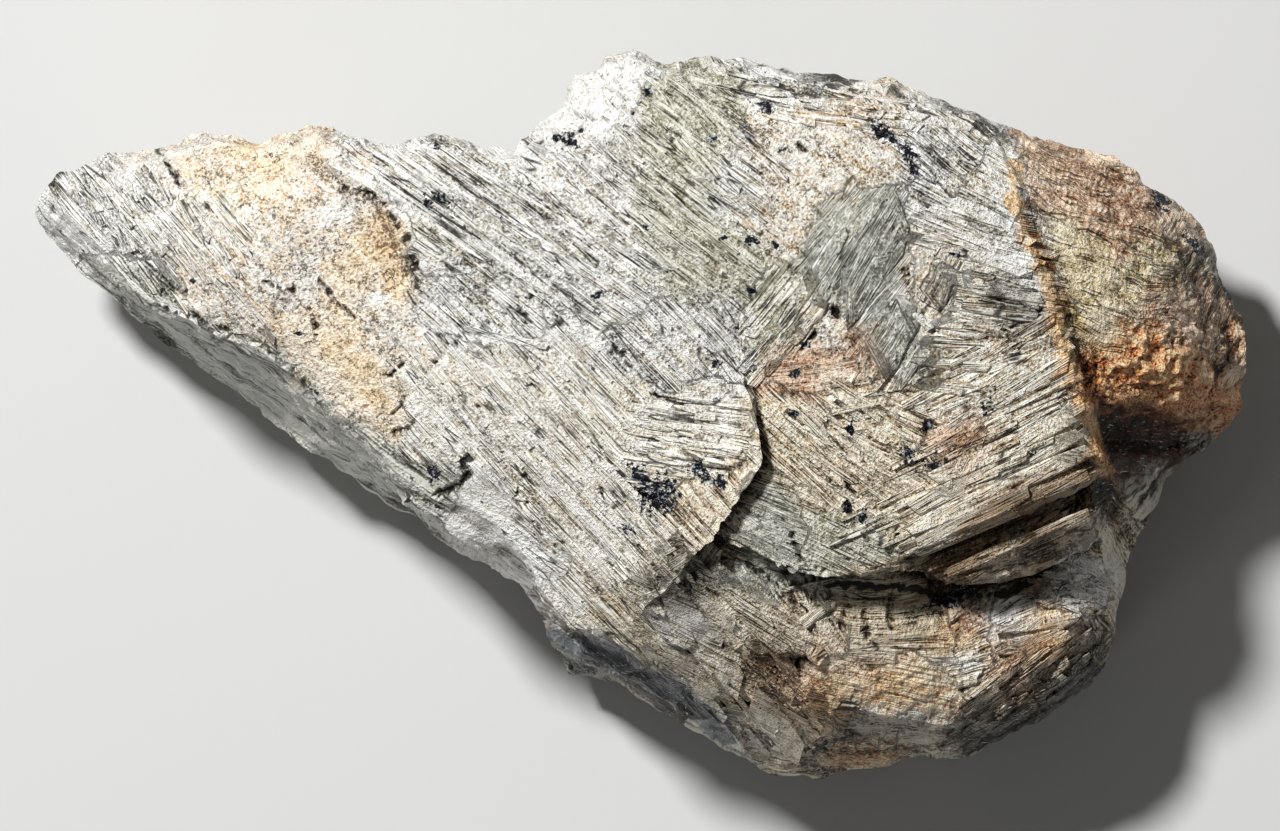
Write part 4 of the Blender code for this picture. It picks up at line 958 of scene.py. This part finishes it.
# The plain grey of the sides takes over, and the seams fade out, below about these heights
LOW_SIDE, LOW_SEAM = 11.0, 19.0
# What an ochre stain leaves of the red, green and blue of the stone
OCHRE = (0.99, 0.91, 0.78)


def shades_around(places):
    """The light, middle, dark and patch colour of the stones around each place."""
    x, y, z = places.T
    x = x + 1.8 * lumps(70, x / 3, y / 3, z / 3) + lumps(71, x, y, z)
    y = y + 1.8 * lumps(72, x / 3, y / 3, z / 3) + lumps(73, x, y, z)
    low = 3.0 * step_up(LOW_SIDE - z + 6.0 * lumps(79, x / 6, y / 6, z / 6), 0.0, 6.0)
    total, colours = low, low[:, None] * linear(STONES["side"][:4]).ravel()
    for site, stone in zip(SITES, SITE_STONES):
        away = (x - site[0]) ** 2 + (y - site[1]) ** 2
        share = np.exp(-away / (2 * COLOUR_REACH**2)) + 1e-9
        total = total + share
        colours = colours + share[:, None] * linear(STONES[stone][:4]).ravel()
    return np.split(colours / total[:, None], 4, axis=1)


def painted(name, places, triangles, fibre, look, marks):
    """A mesh in the part's frame, with the colours and fibre directions its stone needs."""
    mesh = bpy.data.meshes.new(name)
    shifted = (places + np.array(PLAN_SHIFT)) * MM
    mesh.from_pydata(shifted.tolist(), [], triangles.tolist())
    ochre = np.clip(1.4 * depth_in(OCHRE_STAINS, places[:, 0], places[:, 1]) + 0.3, 0.0, 1.0)
    stain = 1.0 - ochre[:, None] * (1.0 - np.array(OCHRE))
    seams = []
    for half_width, colours, *line in SEAMS:
        off = outside_lines(((half_width, *line),), places[:, 0], places[:, 1])
        off += 0.5 * lumps_in(76, places, 2.5)
        low = LOW_SEAM - places[:, 2] + 5.0 * lumps_in(81, places, 5)
        off += 2.5 * step_up(low, 0.0, 12.0)
        seams.append((0.9 * (1.0 - step_up(off, -0.1, 0.4))[:, None], linear(colours)))
    kinds = zip(("light", "middle", "dark", "patch"), shades_around(places))
    for number, (kind, colour) in enumerate(kinds):
        for share, colours in seams:
            colour = colour + share * (colours[number] - colour)
        layer = mesh.attributes.new(kind, "FLOAT_COLOR", "POINT")
        solid = np.column_stack((np.clip(colour * stain, 0.002, 0.95), np.ones(len(places))))
        layer.data.foreach_set("color", solid.ravel())
    for kind, values in (("fibre", fibre), ("look", look), ("marks", marks)):
        layer = mesh.attributes.new(kind, "FLOAT_VECTOR", "POINT")
        layer.data.foreach_set("vector", np.stack(values, 1).ravel())
    return mesh


def rock_form():
    """Places and triangles of the finished rock, and what its colour is made from."""
    plain, triangles = with_long_edges_split(*lofted_rock())
    leant = leaning(plain)
    for *place, depth in HOLLOWS:
        leant[:, 2] -= depth * step_up(depth_in((place,), plain[:, 0], plain[:, 1]), 0.0, 0.6)
    sites, others, share = nearest_sites(plain[:, 0], plain[:, 1])
    normals = normals_of(smoothed(plain, triangles, 3), triangles)
    out, shade, split = relief(plain, normals, sites, others, share)
    places = leant + normals * out[:, None]
    flat = plain[:, 2] < FLAT
    places[flat] = plain[flat]
    places[:, 2] = np.maximum(places[:, 2], 0.0)
    return places, triangles, plain, sites, shade, split


def rock_mesh(places, triangles, plain, sites, shade, split):
    """The rock's mesh, darker in splits, streaked along its fibres, with painted shade in hollows and
    painted light on ridges.
    """
    normals = normals_of(places, triangles)
    x, y, z = places.T
    near = np.einsum("ij,ij->i", places - smoothed(places, triangles, 4), normals)
    wide = np.einsum("ij,ij->i", places - smoothed(places, triangles, 30), normals)
    u, v = fibre_frame(plain, sites)
    streaky = FIBROUS[sites]
    gentle = step_up(normals[:, 2], 0.35, 0.75)
    tone = streaky * gentle * (0.45 * shade + 0.2 * lumps(80, u / 6.0, v / 0.8))
    tone += streaky * (0.4 + 2.0 * (1 - gentle)) * lumps(84, u / 15.0, v / 3.4)
    tone += streaky * (1 - gentle) * (1.3 * lumps(85, u / 8.0, v / 1.1) - 0.25)
    tone += 0.25 * lumps_in(82, places, 5) + 0.2 * lumps_in(83, places, 1.8)
    # Painted shade and light: places sunk below the evened-out surface are darkened, deep hollows nearly
    # to black, and places standing above it are lightened
    tone += (
        (0.3 + 0.7 * gentle) * np.clip(near * 2.0, -0.65, 0.5)
        + np.clip(wide * 0.9, -1.3, 0.3)
        - 0.18 * np.clip(split, 0, 1)
    )
    tint = streaky * lumps(89, u / 9.0, v / 1.6) + (1 - streaky) * lumps_in(90, places, 2.2)
    tint += 0.8 * lumps_in(91, places, 9)
    facing = step_up(normals[:, 2], -0.2, 0.3)
    marks = [depth_in(kind, x, y) * facing - (1 - facing) for kind in (DARK_GRAINS, WHITE_PATCHES)]
    marks.append(outside_lines(CRACKS, x, y))
    fine = FINENESS[sites]
    return painted("rock", places, triangles, (u * fine, v * fine, z), (tone, tint, streaky), marks)


# Colours the fine shading brings in: rust, chalky patches and one painted highlight, pale flecks,
# the dark of a gap with the painted shade in it, and the black grains with the glint on them
RUST = (0.62, 0.42, 0.24, 1.0)
CHALK_AND_HIGHLIGHT = (0.93, 0.92, 0.88, 1.0)
FLECK = (0.9, 0.89, 0.86, 1.0)
GAP_AND_SHADE = (0.022, 0.019, 0.014, 1.0)
BLACK = (0.006, 0.007, 0.012, 1.0)
GLINT = (0.36, 0.39, 0.44, 1.0)
# How much light the dry stone throws back, and how deep its fibres and its grit feel, in metres
SHINE = 0.22
FIBRE_DEPTH, GRIT_DEPTH = 0.00018, 0.0001


class Paint:
    """Makes the nodes of one material; each method hands back the outlet of what it adds."""

    def __init__(self, material):
        material.use_nodes = True
        self.nodes = material.node_tree.nodes
        self.links = material.node_tree.links
        self.shader = self.nodes["Principled BSDF"]
        self.place = self.node("ShaderNodeTexCoord").outputs["Object"]
        self.fibre = self.layer("fibre", "Vector")
        self.tone, self.tint, self.streaky = self.parts_of("look")
        self.dark, self.white, self.crack = self.parts_of("marks")
        self.wander = self.less(self.lumpy(1500.0, 4.0), 0.5)

    def fill(self, inlet, value):
        """Joins an inlet to an outlet, or sets it to a plain value."""
        if isinstance(value, bpy.types.NodeSocket):
            self.links.new(value, inlet)
        else:
            inlet.default_value = value

    def node(self, kind, **settings):
        """A node with its inlets and settings given by name."""
        made = self.nodes.new(kind)
        for key, value in settings.items():
            if key in made.inputs:
                self.fill(made.inputs[key], value)
            else:
                setattr(made, key, value)
        return made

    def layer(self, name, output="Color"):
        """What the mesh carries under this name."""
        return self.node("ShaderNodeAttribute", attribute_name=name).outputs[output]

    def parts_of(self, name):
        """The three numbers the mesh carries under this name."""
        return self.node("ShaderNodeSeparateXYZ", Vector=self.layer(name, "Vector")).outputs

    def stretched(self, vector, stretch):
        """A place or a fibre's run, drawn out or squeezed each way."""
        made = self.node("ShaderNodeMapping", Vector=vector, Scale=stretch)
        return made.outputs["Vector"]

    def lumpy(self, scale, detail):
        """Noise through the solid stone."""
        made = self.node("ShaderNodeTexNoise", Vector=self.place, Scale=scale, Detail=detail,
                         Roughness=0.6)
        return made.outputs["Fac"]

    def streaks(self, stretch, detail):
        """Noise drawn out along the fibres."""
        made = self.node("ShaderNodeTexNoise", Vector=self.stretched(self.fibre, stretch),
                         Scale=1.0, Detail=detail, Roughness=0.6)
        return made.outputs["Fac"]

    def ranged(self, value, low, high, new_low, new_high):
        """A value between low and high, carried over to between new_low and new_high."""
        made = self.node("ShaderNodeMapRange", Value=value)
        for inlet, number in zip(made.inputs[1:5], (low, high, new_low, new_high)):
            inlet.default_value = number
        return made.outputs["Result"]

    def maths(self, operation, values):
        """Values put together from first to last."""
        result = values[0]
        for value in values[1:]:
            made = self.node("ShaderNodeMath", operation=operation)
            self.fill(made.inputs[0], result)
            self.fill(made.inputs[1], value)
            result = made.outputs["Value"]
        return result

    def plus(self, *values):
        return self.maths("ADD", values)

    def less(self, *values):
        return self.maths("SUBTRACT", values)

    def times(self, *values):
        return self.maths("MULTIPLY", values)

    def most(self, *values):
        return self.maths("MAXIMUM", values)

    def lines_in(self, value, half_width):
        """1 on the lines where a noise crosses its middle, 0 off them."""
        off = self.maths("ABSOLUTE", (self.less(value, 0.5), 0.0))
        return self.ranged(off, half_width * 0.3, half_width, 1.0, 0.0)

    def mixed(self, share, one, two, kind="RGBA"):
        """One turning into two as the share goes from 0 to 1: colours, or plain numbers."""
        made = self.node("ShaderNodeMix", data_type=kind)
        first, result = (6, 2) if kind == "RGBA" else (2, 0)
        for number, value in ((0, share), (first, one), (first + 1, two)):
            self.fill(made.inputs[number], value)
        return made.outputs[result]


def fibrous_pattern(paint, spots):
    """Light and dark along the fibres: bands, threads, hairs, furrows and painted glints on the fibres.
    """
    here = paint.ranged(paint.streaks((0.12, 0.35, 0.0), 2.0), 0.44, 0.56, 0.1, 1.0)
    furrows = paint.times(paint.lines_in(paint.streaks((0.04, 0.9, 0.0), 0.0), 0.022), here)
    scratches = paint.times(paint.lines_in(paint.streaks((0.06, 1.9, 0.0), 0.0), 0.035), here)
    # Painted highlights: thin bright lines where the silky fibres would catch the light
    painted_glints = paint.lines_in(paint.streaks((0.07, 1.3, 0.0), 0.0), 0.05)
    return paint.plus(
        paint.ranged(paint.streaks((0.06, 0.9, 0.0), 1.0), 0.36, 0.64, -0.45, 0.45),
        paint.ranged(paint.streaks((0.1, 2.6, 0.0), 1.0), 0.36, 0.64, -0.9, 0.9),
        paint.ranged(paint.streaks((0.22, 6.0, 0.0), 0.0), 0.34, 0.66, -1.0, 1.0),
        paint.times(furrows, -0.45),
        paint.times(scratches, -0.7),
        paint.times(painted_glints, 0.7),
        paint.times(spots, 0.4),
        0.2,
    )


def crumbly_pattern(paint, spots):
    """Light and dark where the stone crumbles: spots, and dark squiggles between grains."""
    here = paint.ranged(paint.lumpy(200.0, 2.0), 0.45, 0.6, 0.0, 1.0)
    squiggles = paint.times(paint.lines_in(paint.lumpy(420.0, 3.0), 0.017), here)
    return paint.plus(spots, paint.times(squiggles, paint.less(1.1, paint.streaky), -2.0), 0.1)


def plain_colour(paint, pattern):
    """The colours the mesh carries, by light and dark, with a little rust among them."""
    level = paint.plus(paint.tone, pattern)
    drift = paint.ranged(paint.streaks((0.3, 1.2, 0.1), 4.0), 0.35, 0.65, -1.2, 1.2)
    patchy = paint.ranged(paint.plus(paint.tint, drift), -0.4, 1.0, 0.0, 1.0)
    rusty = paint.ranged(paint.streaks((0.09, 0.9, 0.0), 3.0), 0.58, 0.7, 0.0, 0.4)
    colour = paint.mixed(patchy, paint.layer("middle"), paint.layer("patch"))
    colour = paint.mixed(rusty, colour, RUST)
    colour = paint.mixed(paint.ranged(level, 0.0, 1.2, 0.0, 0.88), colour, paint.layer("light"))
    return paint.mixed(paint.ranged(level, 0.0, -1.1, 0.0, 1.0), colour, paint.layer("dark"))


def flaws_in(paint):
    """Dark seams between blades, nicks, specks and cracks, whose dark is also painted shade: 1 in them, 0
    outside.
    """
    long_cells = paint.stretched(paint.fibre, (0.09, 0.75, 0.0))
    cells = paint.node("ShaderNodeTexVoronoi", feature="DISTANCE_TO_EDGE", Scale=1.0,
                       Vector=long_cells)
    edge = paint.ranged(cells.outputs["Distance"], 0.015, 0.05, 1.0, 0.0)
    here = paint.ranged(paint.lumpy(240.0, 2.0), 0.48, 0.58, 0.0, 0.9)
    seam = paint.times(edge, here, paint.streaky)
    nick = paint.ranged(paint.streaks((2.4, 0.8, 0.1), 2.0), 0.67, 0.71, 0.0, 0.6)
    speck = paint.ranged(paint.lumpy(1300.0, 2.0), 0.68, 0.71, 0.0, 0.9)
    ragged = paint.plus(paint.crack, paint.times(paint.wander, 0.4))
    split = paint.ranged(ragged, 0.02, 0.23, 0.97, 0.0)
    return paint.most(seam, nick, speck, split)


def marked_colour(paint, colour, flaws):
    """The colour with its chalky patches and one painted highlight, pale flecks, flaws, cracks with
    painted shade, and black grains.
    """
    white = paint.plus(paint.white, paint.times(paint.wander, 5.0))
    dark = paint.plus(paint.dark, paint.times(paint.wander, 4.0))
    chalk_and_highlight = paint.ranged(white, 0.0, 0.5, 0.0, 0.85)
    fleck = paint.ranged(paint.streaks((0.9, 2.6, 0.0), 1.0), 0.66, 0.7, 0.0, 0.75)
    grain = paint.ranged(dark, 0.05, 0.2, 0.0, 1.0)
    glint = paint.ranged(paint.lumpy(1700.0, 3.0), 0.55, 0.62, 0.0, 1.0)
    black = paint.mixed(glint, BLACK, GLINT)
    for share, other in ((chalk_and_highlight, CHALK_AND_HIGHLIGHT), (fleck, FLECK), (flaws, GAP_AND_SHADE), (grain, black)):
        colour = paint.mixed(share, colour, other)
    return colour


def stone_material(name):
    """Matt broken stone: the colours of the mesh with fine fibres and grain laid over them."""
    material = bpy.data.materials.new(name)
    paint = Paint(material)
    grit = paint.lumpy(2600.0, 2.0)
    mottle = paint.ranged(paint.lumpy(650.0, 8.0), 0.38, 0.62, -0.45, 0.9)
    spots = paint.plus(mottle, paint.ranged(grit, 0.36, 0.64, -0.7, 1.0))
    crusty = paint.ranged(paint.streaks((0.13, 0.32, 0.05), 4.0), 0.45, 0.57, 0.1, 0.85)
    share = paint.times(paint.streaky, paint.less(1.0, crusty))
    crumbly, fibrous = crumbly_pattern(paint, spots), fibrous_pattern(paint, spots)
    pattern = paint.mixed(share, crumbly, fibrous, "FLOAT")
    flaws = flaws_in(paint)
    colour = marked_colour(paint, plain_colour(paint, pattern), flaws)
    paint.fill(paint.shader.inputs["Base Color"], colour)

    rough = paint.less(paint.ranged(grit, 0.3, 0.7, 0.4, 0.66), paint.times(paint.streaky, 0.1))
    paint.fill(paint.shader.inputs["Roughness"], rough)
    paint.shader.inputs["Specular IOR Level"].default_value = SHINE

    ridged = paint.ranged(pattern, -1.6, 1.6, 0.0, 1.6)
    height = paint.times(ridged, paint.ranged(paint.streaky, 0.1, 1.0, 0.6, 1.0))
    height = paint.less(height, paint.times(flaws, 0.8))
    fine = paint.node("ShaderNodeBump", Strength=1.0, Distance=FIBRE_DEPTH, Height=height)
    sandy = paint.node("ShaderNodeBump", Strength=0.35, Distance=GRIT_DEPTH, Height=grit,
                       Normal=fine.outputs["Normal"])
    paint.fill(paint.shader.inputs["Normal"], sandy.outputs["Normal"])
    return material


def add_piece(name, mesh, material):
    """Puts a piece of the rock in place of the plain solid."""
    piece = bpy.data.objects.new(name, mesh)
    bpy.context.scene.collection.objects.link(piece)
    mesh.materials.append(material)
    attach(piece, "root")
    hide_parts("wollastonite_specimen")


stone = stone_material("wollastonite")
rock_surface = rock_form()
add_piece("rock", rock_mesh(*rock_surface), stone)

# ---------------------------------------------------------------- splinters
# Single blades of wollastonite that stand proud where the rock split along its fibres.
# Each is a flat-sided lath rooted in the rock, snapped square or slantwise at its ends.

# The broad ones: (x, y, way of the fibres, width, length, how proud, tone, tint)
SLABS = (
    (29.5, 20.5, 56, 7, 15, 0.25, -0.5, -0.8), (25.5, 19.5, 56, 1.4, 13, 0.4, -0.2, 0),
    (22.8, 18.5, 56, 2.2, 13, 0.35, 0.3, 0), (19, 14, 50, 2.6, 10, 0.45, 0.1, 0.4),
    (16.8, 13.5, 50, 1.8, 9, 0.3, 0.2, 0), (21.5, 12, 52, 2, 7, 0.4, 0.1, 0.8),
    (32.2, 9.6, 58, 5, 12, 0.55, -0.35, -0.6), (35.3, 13.2, -45, 1.1, 6.2, 0.7, 1.2, -0.8),
    (35.2, 6.5, 58, 1.6, 8, 0.4, 0.2, 0.2), (38.6, 17.5, 62, 4.2, 7, 0.35, -0.3, 0.2),
    (42, 22.5, -24, 2, 16, 0.4, 0.4, -0.6), (46, 20, -22, 2.2, 10, 0.35, 0.6, -0.8),
    (44, 24.5, -20, 1.8, 14, 0.35, 0.3, 0), (47, 15.8, -8, 1.6, 10, 0.45, 0.3, -0.6),
    (46.5, 13.5, -10, 2, 10, 0.4, -0.2, 0.2), (42, 11.5, -8, 1.6, 9, 0.4, 0.5, -0.5),
    (41, 9, -8, 2, 10, 0.4, -0.2, -0.2), (40, 6.5, -8, 1.6, 10, 0.4, 0, 0.3),
    (39.5, 3.5, -8, 2, 9, 0.4, 0, 0.6), (48.5, 9.5, 30, 2.2, 12, 0.4, -0.2, 0.5),
    (50.5, 6.5, 28, 2.4, 12, 0.4, 0.1, 0.4), (47.5, 2.5, 27, 2.6, 18, 0.4, 0.4, 0.2),
    (49, 0, 24, 2.2, 18, 0.4, -0.2, 0.9), (53, -1, 24, 2, 10, 0.45, 0.6, 0),
    (47, -4.5, 24, 2.4, 20, 0.55, 0.5, 0.2), (46, -7.5, 24, 2.6, 24, 0.6, 0.6, 0),
    (46.5, -10, 24, 2.4, 26, 0.7, 0.7, 0.2), (43, -13.5, 24, 2.4, 16, 0.8, 0.8, 0.2),
    (47, -12.6, 22.5, 1.8, 24, 0.7, 0.8, 0.1), (42, -15.6, 23, 1.6, 14, 0.7, 0.9, 0.4),
    (49, -17, 22.5, 1.7, 20, 0.8, 0.5, 0.6), (50, -18.7, 22.5, 1.3, 16, 0.4, -0.2, 0.6),
    (44, -20, 22.5, 1.6, 10, 0.5, 0.1, 0.8), (37.3, -20.8, 35, 2.8, 4, 0.6, 0.1, 0),
    (57, -21.5, -6, 1.2, 9, 0.7, 1.1, -0.8), (57, -23, -8, 1.2, 10, 0.7, 1.0, -0.8),
    (58, -24.8, -8, 1.2, 9, 0.7, 1.0, -0.4), (56.5, -20.2, -5, 1, 8, 0.6, 0.9, -0.5),
    (52, -27.5, 5, 2, 10, 0.7, 0.4, 0.4), (51, -30, 12, 2.2, 10, 0.7, 0.1, 0.6),
    (2, -26, -50, 3.4, 12, 0.8, 0.4, 0.1), (6, -26.5, -50, 3.2, 12, 1.0, 0.5, 0.2),
    (9.5, -26.5, -50, 2.6, 10, 0.8, 0.2, 0.5), (13.5, -25.5, -50, 3.2, 15, 1.0, -0.2, -0.4),
    (17.3, -26, -50, 2.4, 13, 0.8, 0.3, 0.9), (20.5, -29, -48, 2.4, 9, 0.8, 0.4, 0.6),
    (9.5, -32, -50, 3.2, 10, 1.0, 0.2, -0.4), (13, -34.2, -50, 2.6, 8, 0.8, -0.2, 0.4),
    (6, -33.5, -50, 2.6, 10, 0.7, 0.1, 0.4), (17.5, -41, -50, 3.4, 10, 1.0, 0.5, 0.4),
    (21.5, -39.8, -50, 2.8, 10, 0.8, 0.4, 0.7), (13.5, -42, -52, 3, 9, 0.8, 0.2, 0.1),
    (24, -39, -48, 2.2, 7, 0.6, 0.2, 0.9), (22.2, -26.5, 38, 1.6, 6.5, 0.6, 0.7, 0.3),
    (47, -38.5, 38, 2, 12, 0.9, 0.3, 0.5), (51, -36, 38, 1.6, 12, 0.9, 0.1, 0.4),
    (54.5, -32.5, 38, 2, 11, 0.9, 0.4, 0.3), (47.5, -41, 38, 1.4, 10, 0.7, -0.2, 0.4),
    (-18, 9.9, -13, 1.1, 11, 0.35, 0.8, -0.6),
    (-62.2, 33.4, -54, 1, 6.5, 0.4, -0.9, 0.8), (-61, 31, -52, 0.9, 9, 0.4, 0.4, 0.8),
)
# The thin ones: (x, y, half-length, half-width, turn of the patch, way of the fibres,
# how many, thinnest and widest, shortest and longest, how proud)
SPLINTERS = (
    (46, -7, 15, 8, 24, 24, 90, 0.5, 1.6, 7, 26, 0.3),
    (49, -16, 12, 3, 22, 23, 40, 0.6, 1.4, 8, 24, 0.5),
    (36, -20.5, 24, 1.2, 6, 12, 26, 0.6, 1.4, 5, 14, 0.3),
    (47, 6, 9, 6, 20, 22, 24, 0.7, 2, 4, 11, 0.3),
    (45, 17, 9, 7, -15, -14, 26, 0.7, 2, 4, 11, 0.3),
    (33, 9, 5, 4, 58, 58, 14, 0.5, 1.5, 3, 9, 0.2),
    (19, 13, 7, 5, 50, 51, 20, 0.7, 2, 4, 10, 0.3),
    (-14, -3, 20, 9, -46, -46, 80, 0.4, 1.5, 6, 24, 0.16),
    (-4, -17, 14, 6, -48, -47, 40, 0.5, 1.5, 5, 18, 0.25),
    (6, -3, 7, 5, -8, -8, 36, 0.5, 1.4, 3, 9, 0.25),
    (9, -29, 12, 8, -50, -51, 60, 0.5, 1.6, 4, 12, 0.5),
    (18, -38, 8, 6, -50, -50, 36, 0.6, 1.8, 4, 10, 0.55),
    (-62, 22, 16, 7, -47, -47, 60, 0.5, 1.6, 6, 22, 0.2),
    (-18, 26, 16, 8, -33, -34, 50, 0.4, 1.4, 5, 18, 0.16),
    (2, 30, 12, 12, -37, -37, 60, 0.5, 1.5, 5, 16, 0.16),
    (22, 41, 14, 3, -12, -12, 36, 0.6, 1.6, 6, 18, 0.3),
    (50, -37, 12, 5, 38, 38, 60, 0.7, 1.6, 5, 16, 0.7),
    (57, -23, 5, 3, -6, -7, 40, 0.4, 1.0, 3, 9, 0.35),
    (28, -4, 9, 8, -35, -36, 50, 0.4, 1.4, 3, 9, 0.2),
)
# Cross-sections along a lath, corners of one, the steepest bed and how deep it is rooted
STATIONS, SIDES = 7, 6
STEEPEST = 1.7
ROOT_DEPTH = 1.2
# A height above all of the rock, and the start of the chance numbers for the laths
OVERHEAD = 80.0
CHANCE_START = 12


def splinter_shape(x, y, angle, width, length, proud, tree, rng):
    """Corners of one lath lying on the rock, or nothing where the rock is too uneven."""
    cos, sin = math.cos(angle), math.sin(angle)
    run = np.linspace(-0.5, 0.5, STATIONS) * length
    levels = []
    for step in run:
        for across in (-0.35 * width, 0.0, 0.35 * width):
            above = Vector((x + step * cos - across * sin, y + step * sin + across * cos, OVERHEAD))
            hit = tree.ray_cast(above, Vector((0, 0, -1)))[0]
            if hit is None:
                return None
            levels.append(hit.z)
    left, middle, right = np.reshape(levels, (STATIONS, 3)).T
    slope, level = np.polyfit(run, middle, 1)
    bank = np.clip(np.median(right - left) / (0.7 * width), -1.5, 1.5)
    uneven = np.abs(middle - slope * run - level).max()
    if abs(slope) > STEEPEST or uneven > min(1.9, 0.9 + 2.4 * proud):
        return None
    tilt = bank + rng.uniform(-0.16, 0.16) / max(1.0, width / 2)
    slant = rng.uniform(-0.8, 0.8)
    deep = ROOT_DEPTH + proud + width * 0.5
    bevel = min(0.22, 0.12 * width)
    half = width / 2
    section = ((-half, -1.4 * bevel), (bevel - half, 0), (half - bevel, 0), (half, -bevel),
               (0.85 * half, -deep), (-0.85 * half, -deep))
    corners = []
    for number, step in enumerate(run):
        tip = 1.0 - 0.5 * rng.random() if number in (0, STATIONS - 1) else 1.0
        wide = tip * rng.uniform(0.9, 1.1)
        for side, down in section:
            across = side * wide
            forward = step + slant * across + rng.uniform(-0.08, 0.08)
            rise = level + slope * forward + proud * rng.uniform(0.8, 1.2) + tilt * across + down
            corners.append((x + forward * cos - across * sin, y + forward * sin + across * cos, rise))
    return corners


def chosen_blades(rng):
    """Every lath to lay: place, direction, width, length, how proud, tone and tint."""
    for x, y, way, width, length, proud, tone, tint in SLABS:
        yield x, y, math.radians(way), width, length, proud, tone, tint
    for x, y, half_length, half_width, turn, way, count, *sizes in SPLINTERS:
        turn = math.radians(turn)
        for _ in range(count):
            out, about = math.sqrt(rng.random()), rng.uniform(0, 2 * math.pi)
            along, across = half_length * out * math.cos(about), half_width * out * math.sin(about)
            px = x + along * math.cos(turn) - across * math.sin(turn)
            py = y + along * math.sin(turn) + across * math.cos(turn)
            width = sizes[0] + (sizes[1] - sizes[0]) * rng.random() ** 2
            length = sizes[2] + (sizes[3] - sizes[2]) * rng.random() ** 2
            angle = math.radians(way + rng.normal(0, 1.2))
            proud = sizes[4] * rng.uniform(0.3, 1.3)
            yield px, py, angle, width, length, proud, rng.normal(0.1, 0.3), rng.normal(0.1, 0.6)


def splinter_mesh(rock_places, rock_triangles):
    """All the laths as one mesh, each a closed body of its own."""
    tree = BVHTree.FromPolygons(rock_places.tolist(), rock_triangles.tolist())
    rng = np.random.default_rng(CHANCE_START)
    places, triangles, shades = [], [], []
    for x, y, angle, width, length, proud, tone, tint in chosen_blades(rng):
        corners = splinter_shape(x, y, angle, width, length, proud, tree, rng)
        if corners is None:
            continue
        first = len(places)
        last = first + (STATIONS - 1) * SIDES
        for ring in range(first, last, SIDES):
            for k in range(SIDES):
                a, b = ring + k, ring + (k + 1) % SIDES
                triangles += [(a, a + SIDES, b + SIDES), (a, b + SIDES, b)]
        for k in range(1, SIDES - 1):
            triangles += [(first, first + k, first + k + 1), (last, last + k + 1, last + k)]
        places += corners
        shades += [(tone, tint, angle, rng.uniform(-40, 40))] * len(corners)
    places = np.array(places)
    tone, tint, ways, shift = np.array(shades).T
    x, y, z = places.T
    u = x * np.cos(ways) + y * np.sin(ways) + shift
    v = y * np.cos(ways) - x * np.sin(ways) + 0.8 * z + shift
    fine = FINENESS[nearest_sites(x, y)[0]]
    look = (tone, tint, np.ones(len(x)))
    no_patch, no_crack = np.full(len(x), -1.0), np.full(len(x), 9.0)
    marks = (depth_in(DARK_GRAINS, x, y), no_patch, no_crack)
    return painted("splinters", places, np.array(triangles), (u * fine, v * fine, z), look, marks)


add_piece("splinters", splinter_mesh(*rock_surface[:2]), stone)

# ---------------------------------------------------------------- floor, light and camera
# A plain pale floor under the rock, a soft lamp low on one side that brings out its steps,
# a weak one across from it, and a camera that looks straight down from far above.
FLOOR_REACH = 3
FLOOR_COLOUR = (0.62, 0.62, 0.61, 1.0)
ROOM_LIGHT = 0.1
# Lamps: name, place, what it points at, width and power
LAMPS = (
    ("key", (-0.58, 0.7, 1.26), (0, 0, 0.03), 0.2, 31.5),
    ("fill", (-0.75, -0.9, 0.65), (0, 0, 0.02), 0.3, 0.8),
)
# The camera: millimetres of lens and film, width of what it sees and what it looks at
LENS, SENSOR = 800, 36
FRAME_WIDTH = 0.168
AIM = (-0.0005, 0.0001, 0.03)

bpy.context.scene.view_settings.view_transform = "Standard"
floor_mesh = bpy.data.meshes.new("floor")
floor_mesh.from_pydata(
    [(x * FLOOR_REACH, y * FLOOR_REACH, 0) for x, y in ((-1, -1), (1, -1), (1, 1), (-1, 1))],
    [], [(0, 1, 2, 3)],
)
floor = bpy.data.objects.new("floor", floor_mesh)
bpy.context.scene.collection.objects.link(floor)
floor_paint = bpy.data.materials.new("floor")
floor_paint.use_nodes = True
floor_shader = floor_paint.node_tree.nodes["Principled BSDF"]
floor_shader.inputs["Base Color"].default_value = FLOOR_COLOUR
floor_shader.inputs["Roughness"].default_value = 0.9
floor_mesh.materials.append(floor_paint)

world = bpy.data.worlds.new("studio")
bpy.context.scene.world = world
world.use_nodes = True
world.node_tree.nodes["Background"].inputs["Color"].default_value = (1, 1, 1, 1)
world.node_tree.nodes["Background"].inputs["Strength"].default_value = ROOM_LIGHT

for name, place, target, size, power in LAMPS:
    lamp = bpy.data.lights.new(name, "AREA")
    lamp.shape = "DISK"
    lamp.size = size
    lamp.energy = power
    box = bpy.data.objects.new(name, lamp)
    bpy.context.scene.collection.objects.link(box)
    box.location = place
    box.rotation_euler = (Vector(target) - Vector(place)).to_track_quat("-Z", "Y").to_euler()

camera = bpy.data.objects.new("camera", bpy.data.cameras.new("camera"))
bpy.context.scene.collection.objects.link(camera)
camera.data.lens = LENS
camera.data.sensor_width = SENSOR
camera.data.clip_end = 20
camera.location = (AIM[0], AIM[1], AIM[2] + LENS * FRAME_WIDTH / SENSOR)
bpy.context.scene.camera = camera
